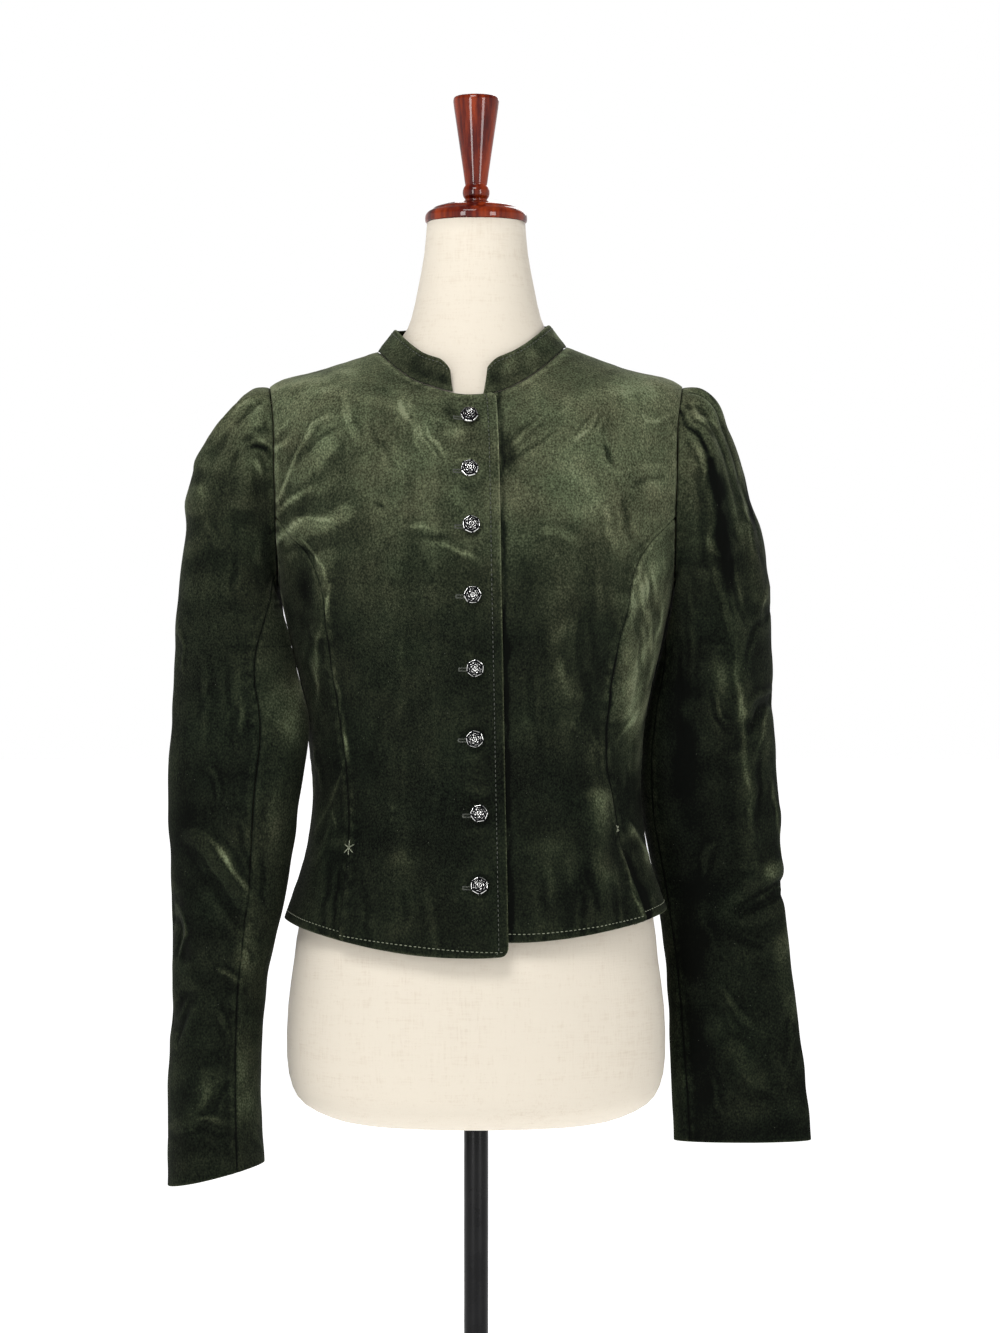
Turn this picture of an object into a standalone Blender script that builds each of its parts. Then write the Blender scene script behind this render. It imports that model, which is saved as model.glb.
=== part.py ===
"""Cropped velvet jacket with puffed sleeves and a stand collar, on a limbless linen dress form.

Metres, +Z up. The garment faces -Y, and left and right are the wearer's: left is at +X.
The origin is the centre of the base plate's underside, on the floor.
"""

from functools import partial
from math import atan2, degrees, radians

import bpy
import numpy as np
from mathutils import Vector

# Cloth and clearances
WALL = 0.0016
COLLAR_WALL = 0.0022
SEAM_HALF = 0.00017
LAYER_GAP = 0.0007
LAYER = WALL + LAYER_GAP
SLEEVE_GAP = 0.0008
COLLAR_GAP = 0.0005
TOUCH = 0.0003
BUTTON_STANDOFF = 0.0005

# The jacket's body is a stack of rounded sections. A level is a row number, and may be a fraction.
# rise lifts the section's front or back above its side, shift moves it to the wearer's left, and
# right_drop lowers its right side; ease is the room between cloth and form.
BODY_COLUMNS = (
    "z", "half_width", "front", "back", "squareness", "front_rise", "back_rise", "shift", "right_drop", "ease",
)
BODY = {
    "hem": (0.8855, 0.1680, 0.1280, 0.1220, 2.20, -0.0345, -0.008, 0.000, 0.0080, 0.0120),
    "high hip": (0.9260, 0.1535, 0.1190, 0.1100, 2.20, -0.0230, -0.004, 0.000, 0.0055, 0.0150),
    "low waist": (0.9660, 0.1456, 0.1100, 0.0990, 2.20, -0.0100, 0.000, 0.000, 0.0030, 0.0170),
    "waist": (1.0080, 0.1445, 0.1065, 0.0960, 2.20, -0.0040, 0.000, 0.000, 0.0010, 0.0160),
    "ribs": (1.0600, 0.1500, 0.1120, 0.0990, 2.25, 0.0000, 0.000, 0.000, 0.0000, 0.0110),
    "under bust": (1.1150, 0.1620, 0.1200, 0.1030, 2.30, 0.0000, 0.000, 0.000, 0.0000, 0.0060),
    "underarm": (1.1680, 0.1735, 0.1260, 0.1060, 2.30, 0.0000, 0.000, 0.000, 0.0000, 0.0030),
    "chest": (1.2350, 0.1860, 0.1230, 0.1070, 2.30, -0.0100, 0.000, 0.000, 0.0000, 0.0025),
    "yoke": (1.3000, 0.1920, 0.1120, 0.1020, 2.30, -0.0280, -0.002, 0.000, 0.0000, 0.0024),
    "shoulder": (1.3430, 0.1810, 0.1010, 0.0900, 2.20, -0.0430, -0.008, 0.000, 0.0000, 0.0022),
    "mid shoulder": (1.3600, 0.1320, 0.0930, 0.0740, 2.10, -0.0450, -0.002, -0.002, 0.0015, 0.0020),
    "neck": (1.3785, 0.0830, 0.0830, 0.0580, 2.00, -0.0485, 0.004, -0.0035, 0.0040, 0.0022),
}
HEM, UNDERARM, SHOULDER, NECK = 0, 6, 9, 11

# The bust shaping that the seams give, on both sides of the centre front
CUP_X, CUP_Z = 0.078, 1.165
CUP_RADIUS = 0.042
CUP_DEPTH = 0.009

# Armhole: an oval round the side, between the underarm and the shoulder point
ARMHOLE_MIDDLE = (UNDERARM + SHOULDER) / 2
ARMHOLE_REACH = (SHOULDER - UNDERARM) / 2
ARMHOLE_SWING = 18.0
ARMHOLE_FULLNESS = 2.3

# Princess seams: degrees from the centre front at each level, then a curve into the armhole
PRINCESS = {
    "left": (63.6, 63.0, 60.8, 58.0, 54.6, 53.6, 56.0, 56.5),
    "right": (50.4, 52.4, 54.4, 56.6, 57.0, 56.0, 54.0, 54.0),
}
PRINCESS_TURN, PRINCESS_JOIN = 5.6, 6.9
PRINCESS_POWER = {"left": 3.4, "right": 2.4}
SIDE_TOP = 6.86

# The vent under the tack, where the side panel runs in under the centre one
TACK_LEVEL, VENT_LEVEL, LAP_LEVEL = 1.75, 1.4, 1.05
LAP = 3.3
LAP_FADE = (2.0, 16.0)
VENT_FLARE = {"left": 0.0050, "right": 0.0012}
FLARE_SPREAD = 9.0

# Front closure: the right front's edge, its lift over the left front, and the left front's underlap
CLOSURE_X = {HEM: 0.0285, 3: 0.0255, 6: 0.0225, NECK: 0.0175}
UNDERLAP_X = -0.018
LIFT_FULL_X, LIFT_END_X = -0.032, -0.058
LEFT_SHORT, LEFT_SHORT_POWER, LEFT_SHORT_TOP = 0.38, 1.4, 1.4

# Rows and columns of the cloth's mesh
LOWER_LEVELS = (0.0, 0.35, 0.7, 1.05, 1.4, 1.75, 2.2, 2.7, 3.2, 3.8, 4.4, 5.0, 5.5)
ARMHOLE_STEPS = 12
UPPER_LEVELS = (9.5, 10.0, 10.5, 11.0)
FRONT_COLUMNS, SIDE_COLUMNS, BACK_COLUMNS, COLLAR_COLUMNS = 13, 5, 18, 34

# Folds: soft ridges (height > 0) and troughs, from one end to the other as seen from the front or back
FOLD_COLUMNS = ("x0", "z0", "x1", "z1", "width", "height")
BODY_FOLDS = {
    "front": (
        (-0.150, 1.214, -0.112, 1.226, 0.0110, 0.0050),
        (-0.150, 1.262, -0.128, 1.286, 0.0090, 0.0025),
        (-0.128, 1.190, -0.133, 1.130, 0.0100, 0.0030),
        (0.104, 0.985, 0.106, 0.885, 0.0130, 0.0060),
        (0.128, 1.150, 0.124, 1.060, 0.0110, 0.0035),
        (-0.060, 0.930, -0.064, 0.880, 0.0160, 0.0030),
        (0.056, 0.940, 0.060, 0.880, 0.0160, 0.0035),
    ),
    "back": (
        (-0.075, 1.010, -0.085, 0.885, 0.0160, 0.0050),
        (0.070, 1.010, 0.082, 0.885, 0.0160, 0.0050),
        (-0.010, 0.960, -0.014, 0.885, 0.0180, 0.0035),
        (-0.110, 1.190, -0.135, 1.235, 0.0120, 0.0030),
        (0.112, 1.180, 0.136, 1.240, 0.0120, 0.0030),
        (-0.060, 1.050, 0.040, 1.042, 0.0100, 0.0025),
    ),
}

# Sleeves below the armhole: a section for each row, with x measured outwards from the centre.
# turn swings the section about the vertical, and tilt lifts its outer end.
SLEEVE_COLUMNS = ("z", "x", "y", "half_width", "half_depth", "turn", "tilt")
SLEEVE = {
    "left": {
        "bicep": (1.115, 0.2115, 0.025, 0.0500, 0.0580, -8.0, 0.000),
        "above elbow": (1.050, 0.2058, 0.024, 0.0580, 0.0500, -10.0, 0.000),
        "elbow": (0.980, 0.2070, 0.036, 0.0625, 0.0430, -13.0, 0.000),
        "below elbow": (0.905, 0.2160, 0.044, 0.0580, 0.0350, -16.0, 0.000),
        "forearm": (0.835, 0.2240, 0.038, 0.0570, 0.0300, -14.0, 0.000),
        "wrist": (0.757, 0.2305, 0.029, 0.0590, 0.0260, -10.0, 0.000),
        "cuff": (0.679, 0.2355, 0.020, 0.0605, 0.0225, -8.0, 0.001),
    },
    "right": {
        "bicep": (1.115, 0.2124, -0.022, 0.0504, 0.0540, 12.0, 0.000),
        "above elbow": (1.050, 0.2055, -0.031, 0.0615, 0.0460, 15.0, 0.000),
        "elbow": (0.985, 0.2105, -0.036, 0.0590, 0.0420, 15.0, 0.000),
        "below elbow": (0.905, 0.2152, -0.033, 0.0510, 0.0430, 9.0, 0.000),
        "forearm": (0.825, 0.2230, -0.026, 0.0415, 0.0450, 4.0, -0.002),
        "wrist": (0.740, 0.2284, -0.022, 0.0404, 0.0445, 0.0, -0.006),
        "cuff": (0.655, 0.2277, -0.020, 0.0420, 0.0430, 0.0, -0.010),
    },
}
CUFF_ROW = 6
SLEEVE_FOLDS = {
    "left": {
        "front": (
            (0.2000, 1.288, 0.2140, 1.200, 0.0080, 0.0045),
            (0.2140, 1.200, 0.2376, 1.055, 0.0100, 0.0035),
            (0.1960, 1.262, 0.2020, 1.190, 0.0080, -0.0030),
            (0.2360, 1.215, 0.2480, 1.160, 0.0090, 0.0035),
            (0.2640, 1.072, 0.2420, 1.050, 0.0090, -0.0040),
            (0.2340, 1.015, 0.2410, 0.925, 0.0110, 0.0040),
            (0.2680, 0.898, 0.2360, 0.884, 0.0080, -0.0040),
            (0.2640, 0.918, 0.2420, 0.908, 0.0090, 0.0030),
            (0.2300, 0.760, 0.2450, 0.735, 0.0110, 0.0025),
        ),
        "back": (
            (0.2060, 1.280, 0.2220, 1.160, 0.0090, 0.0040),
            (0.2500, 1.060, 0.2150, 1.035, 0.0100, -0.0040),
            (0.2480, 1.000, 0.2120, 0.965, 0.0110, -0.0040),
            (0.2300, 0.930, 0.2400, 0.840, 0.0110, 0.0035),
        ),
    },
    "right": {
        "front": (
            (0.2000, 1.330, 0.2420, 1.276, 0.0070, 0.0040),
            (0.1960, 1.285, 0.1990, 1.240, 0.0080, 0.0030),
            (0.2400, 0.952, 0.2040, 0.897, 0.0090, 0.0045),
            (0.2250, 0.915, 0.2000, 0.880, 0.0080, -0.0030),
            (0.2640, 0.893, 0.2560, 0.850, 0.0080, -0.0035),
            (0.2500, 0.811, 0.2630, 0.788, 0.0080, -0.0035),
            (0.2290, 0.744, 0.2480, 0.702, 0.0100, 0.0030),
        ),
        "back": (
            (0.2060, 1.280, 0.2260, 1.150, 0.0090, 0.0040),
            (0.2500, 1.050, 0.2100, 1.020, 0.0100, -0.0040),
            (0.2480, 0.990, 0.2150, 0.950, 0.0100, -0.0040),
            (0.2300, 0.880, 0.2200, 0.790, 0.0110, 0.0035),
        ),
    },
}

# Sleeve head: how the cloth leaves the armhole at its top and at the underarm, and arrives at the bicep
HEAD_OUT, UNDER_OUT = 0.185, 0.022
HEAD_UP, UNDER_UP = 0.026, -0.042
HEAD_SPREAD = 0.050
HEAD_DROP, UNDER_DROP = 0.200, 0.060
TUCKS = {"left": (8.0, 27.0, 48.0), "right": (8.0, 46.0, 68.0)}
TUCK_WIDTH = 5.0
TUCK_DEPTH, TUCK_PUFF = 0.0045, 0.0030
TUCK_START, TUCK_FADE = 0.10, 0.55

# Sleeve seams, as degrees round from the outer line, at the armhole and further down
FRONT_SEAM_TOP, BACK_SEAM_TOP = 150.0, -130.0
FRONT_SEAM = {"left": 138.0, "right": 121.0}
BACK_SEAM = -110.0
HEAD_ROWS = (0.0, 0.07, 0.16, 0.27, 0.40, 0.54, 0.69, 0.84)
SLEEVE_ROW_STEPS = 13
UNDER_COLUMNS = 6
GROOVE_MARGIN, SLEEVE_COLUMN_STEP = 9.0, 16.0
SIDE_SIGN = {"left": 1, "right": -1}

# Stand collar: height and inward lean at the front, side and back, and its two rounded front ends
COLLAR_RISE = {"front right": 0.0262, "front left": 0.0310, "side": 0.0190, "back": 0.0280}
COLLAR_LEAN = {"front right": 0.0110, "front left": 0.0110, "side": 0.0145, "back": 0.0020}
COLLAR_END_X = {"right": -0.0160, "left": 0.0100}
COLLAR_SLANT = 3.5
COLLAR_CORNER = 0.014
COLLAR_ROWS = 3

# Buttons: height of each and its distance from the centre
BUTTONS = (
    (1.3099, -0.0040),
    (1.2646, -0.0048),
    (1.2176, -0.0034),
    (1.1592, -0.0026),
    (1.0976, -0.0001),
    (1.0373, -0.0005),
    (0.9727, 0.0032),
    (0.9116, 0.0034),
)
BUTTON_STEPS = 12
BUTTON_PROFILE = (
    (0.0, 0.0072),
    (0.0030, 0.0069),
    (0.0058, 0.0056),
    (0.0078, 0.0038),
    (0.0066, 0.0026),
    (0.0018, 0.0022),
    (0.0018, 0.0),
    (0.0, 0.0),
)

# Dress form: hips under the hem and neck above the collar, in sections like the body's
FORM_COLUMNS = ("z", "half_width", "front", "back", "front_rise", "back_rise")
FORM_HIPS = {
    "underside": (0.6960, 0.078, 0.048, 0.055, 0.0, 0.0),
    "dome": (0.6992, 0.111, 0.074, 0.082, 0.0, 0.0),
    "lower edge": (0.7045, 0.131, 0.090, 0.097, 0.0, 0.0),
    "edge": (0.7150, 0.1510, 0.104, 0.112, 0.0, 0.0),
    "upper edge": (0.7300, 0.1615, 0.112, 0.120, 0.0, 0.0),
    "hips": (0.7560, 0.1662, 0.116, 0.126, 0.0, 0.0),
    "upper hips": (0.8000, 0.1652, 0.116, 0.125, 0.0, 0.0),
    "under hem": (0.8420, 0.1598, 0.1145, 0.118, -0.008, 0.0),
}
FORM_NECK = {
    "neck base": (1.3880, 0.0650, 0.0670, 0.0500, -0.034, 0.004),
    "low neck": (1.4040, 0.0570, 0.0580, 0.0475, -0.022, 0.003),
    "mid neck": (1.4300, 0.0512, 0.0512, 0.0465, -0.012, 0.002),
    "high neck": (1.4600, 0.0457, 0.0457, 0.0445, -0.004, 0.001),
    "neck top": (1.4880, 0.0432, 0.0432, 0.0432, 0.0, 0.0),
}
FORM_LEVELS = (0, 0.7, 1.4, 2.1, 2.8, 3.5, 4.2, 4.9, 5.5, 6.1, 6.7, 7.3, 7.9, 8.5, 9, 9.4, 9.8, 10.3, 11)
FORM_SQUARENESS = 2.15
FORM_COLUMNS_ROUND = 36
ARM_PLATE_X, ARM_PLATE_SOFT = 0.169, 0.010

# Turned wood above the neck, and the metal stand, as radius and height down the outer side
CAP_PROFILE = (
    (0.0, 1.5065),
    (0.0140, 1.5062),
    (0.0280, 1.5045),
    (0.0385, 1.5008),
    (0.0432, 1.4972),
    (0.0446, 1.4930),
    (0.0446, 1.4883),
    (0.0, 1.4883),
)
FINIAL_PROFILE = (
    (0.0, 1.6000),
    (0.0175, 1.5996),
    (0.0200, 1.5970),
    (0.0202, 1.5940),
    (0.0098, 1.5225),
    (0.0094, 1.5205),
    (0.0112, 1.5180),
    (0.0119, 1.5145),
    (0.0112, 1.5110),
    (0.0092, 1.5085),
    (0.0098, 1.5068),
    (0.0, 1.5068),
)
POLE_RADIUS = 0.0107
BASE_RADIUS = 0.165
BASE_THICK = 0.012
HUB_RADIUS, HUB_HEIGHT = 0.021, 0.040
TURNED_STEPS = 28

COLOURS = {
    "velvet": ((0.030, 0.040, 0.022), 0.85, 0.0),
    "linen": ((0.78, 0.71, 0.58), 0.90, 0.0),
    "wood": ((0.26, 0.035, 0.015), 0.20, 0.0),
    "black metal": ((0.012, 0.012, 0.013), 0.35, 0.6),
    "antique silver": ((0.55, 0.55, 0.55), 0.30, 1.0),
}


def clear_scene():
    for obj in list(bpy.data.objects):
        bpy.data.objects.remove(obj)


def new_collection(name):
    collection = bpy.data.collections.new(name)
    bpy.context.scene.collection.children.link(collection)
    return collection


def new_material(name):
    """A plain Principled material from the table of colours."""
    colour, roughness, metallic = COLOURS[name]
    material = bpy.data.materials.new(name)
    material.use_nodes = True
    shader = material.node_tree.nodes["Principled BSDF"]
    shader.inputs["Base Color"].default_value = (*colour, 1.0)
    shader.inputs["Roughness"].default_value = roughness
    shader.inputs["Metallic"].default_value = metallic
    material.diffuse_color = (*colour, 1.0)
    return material


def smooth_step(low, high, value):
    """0 before low, 1 after high, and smooth between. low may be the larger of the two."""
    share = np.clip((value - low) / (high - low), 0.0, 1.0)
    return share * share * (3.0 - 2.0 * share)


def smooth_through(values, level):
    """A smooth curve through evenly spaced values, read at a level or an array of levels."""
    values = np.asarray(values, float)
    level = np.clip(np.asarray(level, float), 0.0, len(values) - 1.0)
    padded = np.concatenate(([2 * values[0] - values[1]], values, [2 * values[-1] - values[-2]]))
    first = np.minimum(level.astype(int), len(values) - 2)
    share = level - first
    before, start, end, after = (padded[first + i] for i in range(4))
    linear = end - before
    square = 2 * before - 5 * start + 4 * end - after
    cube = 3 * start - before - 3 * end + after
    return start + 0.5 * share * (linear + share * (square + share * cube))


def column(table, columns, name, level):
    """One named column of a section table at a level."""
    index = columns.index(name)
    return smooth_through([row[index] for row in table.values()], level)


def body_column(name, level):
    return column(BODY, BODY_COLUMNS, name, level)


def rounded_section(angle, half_width, front, back, squareness):
    """x and y of a rounded section at an angle from the front, towards +X."""
    sine, cosine = np.sin(angle), np.cos(angle)
    depth = np.where(cosine > 0, front, back)
    reach = (np.abs(sine / half_width) ** squareness + np.abs(cosine / depth) ** squareness) ** (-1 / squareness)
    return reach * sine, -reach * cosine


def body_base(angle, level):
    """The body's smooth outer surface. angle is in degrees from the centre front, towards +X."""
    turn = np.radians(angle)
    level = np.asarray(level, float) + 0.0 * turn
    width, front, back = (body_column(name, level) for name in ("half_width", "front", "back"))
    x, y = rounded_section(turn, width, front, back, body_column("squareness", level))
    facing = np.cos(turn)
    rise = np.where(facing > 0, body_column("front_rise", level), body_column("back_rise", level))
    z = body_column("z", level) + rise * facing**2
    z = z - body_column("right_drop", level) * smooth_step(0.0, -1.0, np.sin(turn))
    x = x + body_column("shift", level)
    away = ((np.abs(x) - CUP_X) ** 2 + (z - CUP_Z) ** 2) / (2 * CUP_RADIUS**2)
    y = y - np.where(facing > 0, CUP_DEPTH * np.exp(-away) * np.clip(facing, 0, 1), 0.0)
    return np.stack([x, y, z], axis=-1)


def surface_normals(surface, across, along, step_across, step_along):
    """Unit normals of a surface given as a function of two parameters, by central differences."""
    side = surface(across + step_across, along) - surface(across - step_across, along)
    up = surface(across, along + step_along) - surface(across, along - step_along)
    normal = np.cross(side, up)
    return normal / np.linalg.norm(normal, axis=-1, keepdims=True)


def fold_height(points, folds, facing):
    """Summed height of the folds at the points. facing is 1 on the side that the folds are on, else 0."""
    height = np.zeros(points.shape[:-1])
    x, z = points[..., 0], points[..., 2]
    for x0, z0, x1, z1, width, rise in folds:
        length = (x1 - x0) ** 2 + (z1 - z0) ** 2
        share = np.clip(((x - x0) * (x1 - x0) + (z - z0) * (z1 - z0)) / length, 0.0, 1.0)
        gap = (x - x0 - share * (x1 - x0)) ** 2 + (z - z0 - share * (z1 - z0)) ** 2
        height += rise * np.exp(-gap / width**2)
    return height * facing


def body_surface(angle, level, lift=0.0):
    """The body's outer surface with its folds, moved out by lift."""
    points = body_base(angle, level)
    normals = surface_normals(body_base, angle, level, 0.4, 0.02)
    ahead = smooth_step(0.012, -0.012, points[..., 1])
    height = fold_height(points, BODY_FOLDS["front"], ahead)
    height = height + fold_height(points, BODY_FOLDS["back"], 1 - ahead)
    height = height * smooth_step(SHOULDER + 0.3, SHOULDER - 0.6, level)
    return points + normals * (height + lift)[..., None]


def armhole_swing(level):
    """How far the armhole's edge stands from the side line at a level, in degrees."""
    share = np.clip(np.abs(level - ARMHOLE_MIDDLE) / ARMHOLE_REACH, 0.0, 1.0)
    return ARMHOLE_SWING * (1 - share**ARMHOLE_FULLNESS) ** (1 / ARMHOLE_FULLNESS)


def princess_angle(side, level):
    """A princess seam's angle, which turns out into the armhole."""
    base = smooth_through(PRINCESS[side], level)
    joined = 90.0 - armhole_swing(PRINCESS_JOIN)
    share = np.clip((level - PRINCESS_TURN) / (PRINCESS_JOIN - PRINCESS_TURN), 0.0, 1.0)
    return base + (joined - base) * share ** PRINCESS_POWER[side]


def half_seam(surface, angles, rows):
    """Half a seam's gap in degrees, measured square to the seam that runs through the rows."""
    across = surface(angles + 0.5, rows) - surface(angles - 0.5, rows)
    along = np.gradient(surface(angles, rows), axis=0)
    along = along / np.linalg.norm(along, axis=-1, keepdims=True)
    return SEAM_HALF / np.linalg.norm(np.cross(across, along), axis=-1)


def side_edge(levels):
    """Side seam, then the armhole's front edge, then the shoulder seam."""
    return 90.0 - armhole_swing(levels) - half_seam(body_base, np.full(len(levels), 90.0), levels)


def princess_edge(side, levels, way):
    """A panel's edge at the princess seam: way is -1 for the centre front and 1 for the side front."""
    seam = princess_angle(side, levels)
    return seam + way * half_seam(body_base, seam, levels)


def front_edge(side, levels):
    """The outer edge of a centre front: princess seam up to the armhole, then as side_edge."""
    return np.where(levels < PRINCESS_JOIN, princess_edge(side, levels, -1), side_edge(levels))


def angle_at_x(x, level):
    return np.degrees(np.arctan2(x, body_column("front", level)))


def closure_x(level):
    return np.interp(level, list(CLOSURE_X), list(CLOSURE_X.values()))


def body_levels():
    """The rows of the body's mesh, closer together at the top and bottom of the armhole."""
    turns = np.linspace(0, np.pi, ARMHOLE_STEPS + 1)
    armhole = ARMHOLE_MIDDLE - ARMHOLE_REACH * np.cos(turns)
    levels = np.concatenate((LOWER_LEVELS, armhole, (SIDE_TOP, PRINCESS_JOIN), UPPER_LEVELS))
    return np.sort(levels)


def panel_angles(first, last, columns):
    """A row of angles for each level, from the first edge to the last."""
    share = np.linspace(0.0, 1.0, columns + 1)
    return first[:, None] + (last - first)[:, None] * share


def vent_flare(side, angle, level):
    """How far a centre front stands out beside its vent."""
    from_edge = (np.abs(angle) - princess_angle(side, level)) / FLARE_SPREAD
    return VENT_FLARE[side] * smooth_step(TACK_LEVEL, HEM, level) * np.exp(-(from_edge**2))


def closure_lift(x):
    """The right front and the collar's right end ride over the left front near the centre."""
    return LAYER * smooth_step(LIFT_END_X, LIFT_FULL_X, x)


def right_front_grid(depth):
    levels = body_levels()
    angles = panel_angles(-front_edge("right", levels), angle_at_x(closure_x(levels), levels), FRONT_COLUMNS)
    rows = np.broadcast_to(levels[:, None], angles.shape)
    lift = closure_lift(body_base(angles, rows)[..., 0]) + vent_flare("right", angles, rows)
    return body_surface(angles, rows, lift - depth)


def left_front_grid(depth):
    """The left front, whose hem rises a little towards the closure, under the right front."""
    levels = body_levels()
    angles = panel_angles(angle_at_x(UNDERLAP_X, levels), front_edge("left", levels), FRONT_COLUMNS)
    short = LEFT_SHORT * np.linspace(1.0, 0.0, FRONT_COLUMNS + 1) ** LEFT_SHORT_POWER
    rows = levels[:, None] + short * np.clip(1 - levels[:, None] / LEFT_SHORT_TOP, 0.0, 1.0)
    return body_surface(angles, rows, vent_flare("left", angles, rows) - depth)


def side_front_grid(side, depth):
    """Side front: under the centre front's edge in the vent, and joined to it above the tack."""
    levels = body_levels()
    levels = levels[levels <= SIDE_TOP]
    first = princess_edge(side, levels, 1) - LAP * smooth_step(VENT_LEVEL, LAP_LEVEL, levels)
    angles = panel_angles(first, side_edge(levels), SIDE_COLUMNS)
    rows = np.broadcast_to(levels[:, None], angles.shape)
    from_seam = angles - princess_angle(side, rows)
    sink = smooth_step(TACK_LEVEL, VENT_LEVEL, rows) * smooth_step(LAP_FADE[1], LAP_FADE[0], from_seam)
    grid = body_surface(SIDE_SIGN[side] * angles, rows, -LAYER * sink - depth)
    return grid if side == "left" else grid[:, ::-1]


def back_grid(depth):
    levels = body_levels()
    edge = side_edge(levels)
    angles = panel_angles(180.0 - edge, 180.0 + edge, BACK_COLUMNS)
    return body_surface(angles, np.broadcast_to(levels[:, None], angles.shape), np.array(-depth))


def armhole_point(around):
    """A point of the armhole's edge, set in from the body's edge by the gap. around is 0 at the shoulder."""
    turn = np.radians(around)
    power = 2 / ARMHOLE_FULLNESS
    up = np.sign(np.cos(turn)) * np.abs(np.cos(turn)) ** power
    swing = np.sign(np.sin(turn)) * np.abs(np.sin(turn)) ** power
    edge = body_base(90.0 - ARMHOLE_SWING * swing, ARMHOLE_MIDDLE + ARMHOLE_REACH * up)
    inwards = body_base(np.array(90.0), np.array(ARMHOLE_MIDDLE)) - edge
    return edge + SLEEVE_GAP * inwards / np.linalg.norm(inwards, axis=-1, keepdims=True)


def sleeve_ring(side, around, row):
    """The sleeve below the armhole, as if on the left. around is 0 at the outer line and 90 at the front."""
    values = {name: column(SLEEVE[side], SLEEVE_COLUMNS, name, row) for name in SLEEVE_COLUMNS}
    turn, swing = np.radians(around), np.radians(values["turn"])
    out, back = values["half_width"] * np.cos(turn), -values["half_depth"] * np.sin(turn)
    x = values["x"] + out * np.cos(swing) - back * np.sin(swing)
    y = values["y"] + out * np.sin(swing) + back * np.cos(swing)
    z = values["z"] + values["tilt"] * np.cos(turn)
    return np.stack([x, y, z + 0.0 * x], axis=-1)


def sleeve_base(side, around, along):
    """The sleeve's smooth outer surface. along is 0 at the armhole, 1 at the bicep, and a row more for each section."""
    ring = sleeve_ring(side, around, np.clip(along - 1.0, 0.0, CUFF_ROW))
    start, turn = armhole_point(around), np.radians(around)
    top = (0.5 + 0.5 * np.cos(turn))[..., None]
    forward = (-HEAD_SPREAD * np.sin(turn))[..., None]
    out = UNDER_OUT + (HEAD_OUT - UNDER_OUT) * top
    up = UNDER_UP + (HEAD_UP - UNDER_UP) * top
    leave = np.concatenate([out, forward, up], axis=-1)
    drop = -(UNDER_DROP + (HEAD_DROP - UNDER_DROP) * top)
    arrive = np.concatenate([0 * drop, 0 * drop, drop], axis=-1)
    share = np.clip(along, 0.0, 1.0)[..., None]
    square, cube = share**2, share**3
    head = (2 * cube - 3 * square + 1) * start + (3 * square - 2 * cube) * ring
    head = head + (cube - 2 * square + share) * leave + (cube - square) * arrive
    return np.where((along < 1.0)[..., None], head, ring)


def tuck_height(side, around, along):
    """The sleeve head's tucks, mirrored to its back half: a groove at each and a puff between them."""
    height = np.zeros(np.shape(around))
    for middle in TUCKS[side]:
        for angle in (middle, -middle):
            height -= TUCK_DEPTH * np.exp(-(((around - angle) / TUCK_WIDTH) ** 2))
    spread = max(TUCKS[side]) + 2 * TUCK_WIDTH
    height = height + TUCK_PUFF * smooth_step(spread + 14.0, spread - 8.0, np.abs(around))
    return height * smooth_step(0.0, TUCK_START, along) * np.exp(-((along / TUCK_FADE) ** 2))


def sleeve_surface(side, around, along, depth):
    """The sleeve's outer surface with tucks and folds, or its inside at a depth, on its own side."""
    base = partial(sleeve_base, side)
    points = base(around, along)
    normals = surface_normals(base, around, np.clip(along, 0.02, CUFF_ROW + 0.98), 1.0, 0.01)
    middle = column(SLEEVE[side], SLEEVE_COLUMNS, "y", np.clip(along - 1.0, 0.0, CUFF_ROW))
    ahead = smooth_step(0.006, -0.006, points[..., 1] - middle)
    folds = SLEEVE_FOLDS[side]
    height = fold_height(points, folds["front"], ahead) + fold_height(points, folds["back"], 1 - ahead)
    height = height * smooth_step(0.0, 0.25, along) + tuck_height(side, around, along)
    points = points + normals * (height - depth)[..., None]
    return points * np.array([SIDE_SIGN[side], 1.0, 1.0])


def sleeve_rows():
    below = np.linspace(1.0, CUFF_ROW + 1.0, SLEEVE_ROW_STEPS + 1)
    return np.concatenate((HEAD_ROWS, below))


def seam_angles(side, rows):
    """The front and back seams of a sleeve, in degrees round from its outer line."""
    share = smooth_step(0.0, 1.6, rows)
    front = FRONT_SEAM_TOP + (FRONT_SEAM[side] - FRONT_SEAM_TOP) * share
    back = BACK_SEAM_TOP + (BACK_SEAM - BACK_SEAM_TOP) * share
    return front, back


def tuck_columns(side):
    """Angles at each tuck's groove, halfway between them, and on towards the two seams."""
    grooves = np.array(sorted(angle for middle in TUCKS[side] for angle in (middle, -middle)))
    between = (grooves[1:] + grooves[:-1]) / 2
    start = grooves[-1] + GROOVE_MARGIN
    ahead = np.arange(start, FRONT_SEAM[side] - GROOVE_MARGIN, SLEEVE_COLUMN_STEP)
    behind = -np.arange(start, -BACK_SEAM - GROOVE_MARGIN, SLEEVE_COLUMN_STEP)
    return np.sort(np.concatenate((behind, grooves, between, ahead)))


def top_sleeve_grid(side, depth):
    rows = sleeve_rows()
    front, back = seam_angles(side, rows)
    base = partial(sleeve_base, side)
    middle = np.broadcast_to(tuck_columns(side), (len(rows), len(tuck_columns(side))))
    first = (back + half_seam(base, back, rows))[:, None]
    last = (front - half_seam(base, front, rows))[:, None]
    angles = np.concatenate((first, middle, last), axis=1)
    grid = sleeve_surface(side, angles, np.broadcast_to(rows[:, None], angles.shape), depth)
    return grid if side == "left" else grid[:, ::-1]


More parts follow.
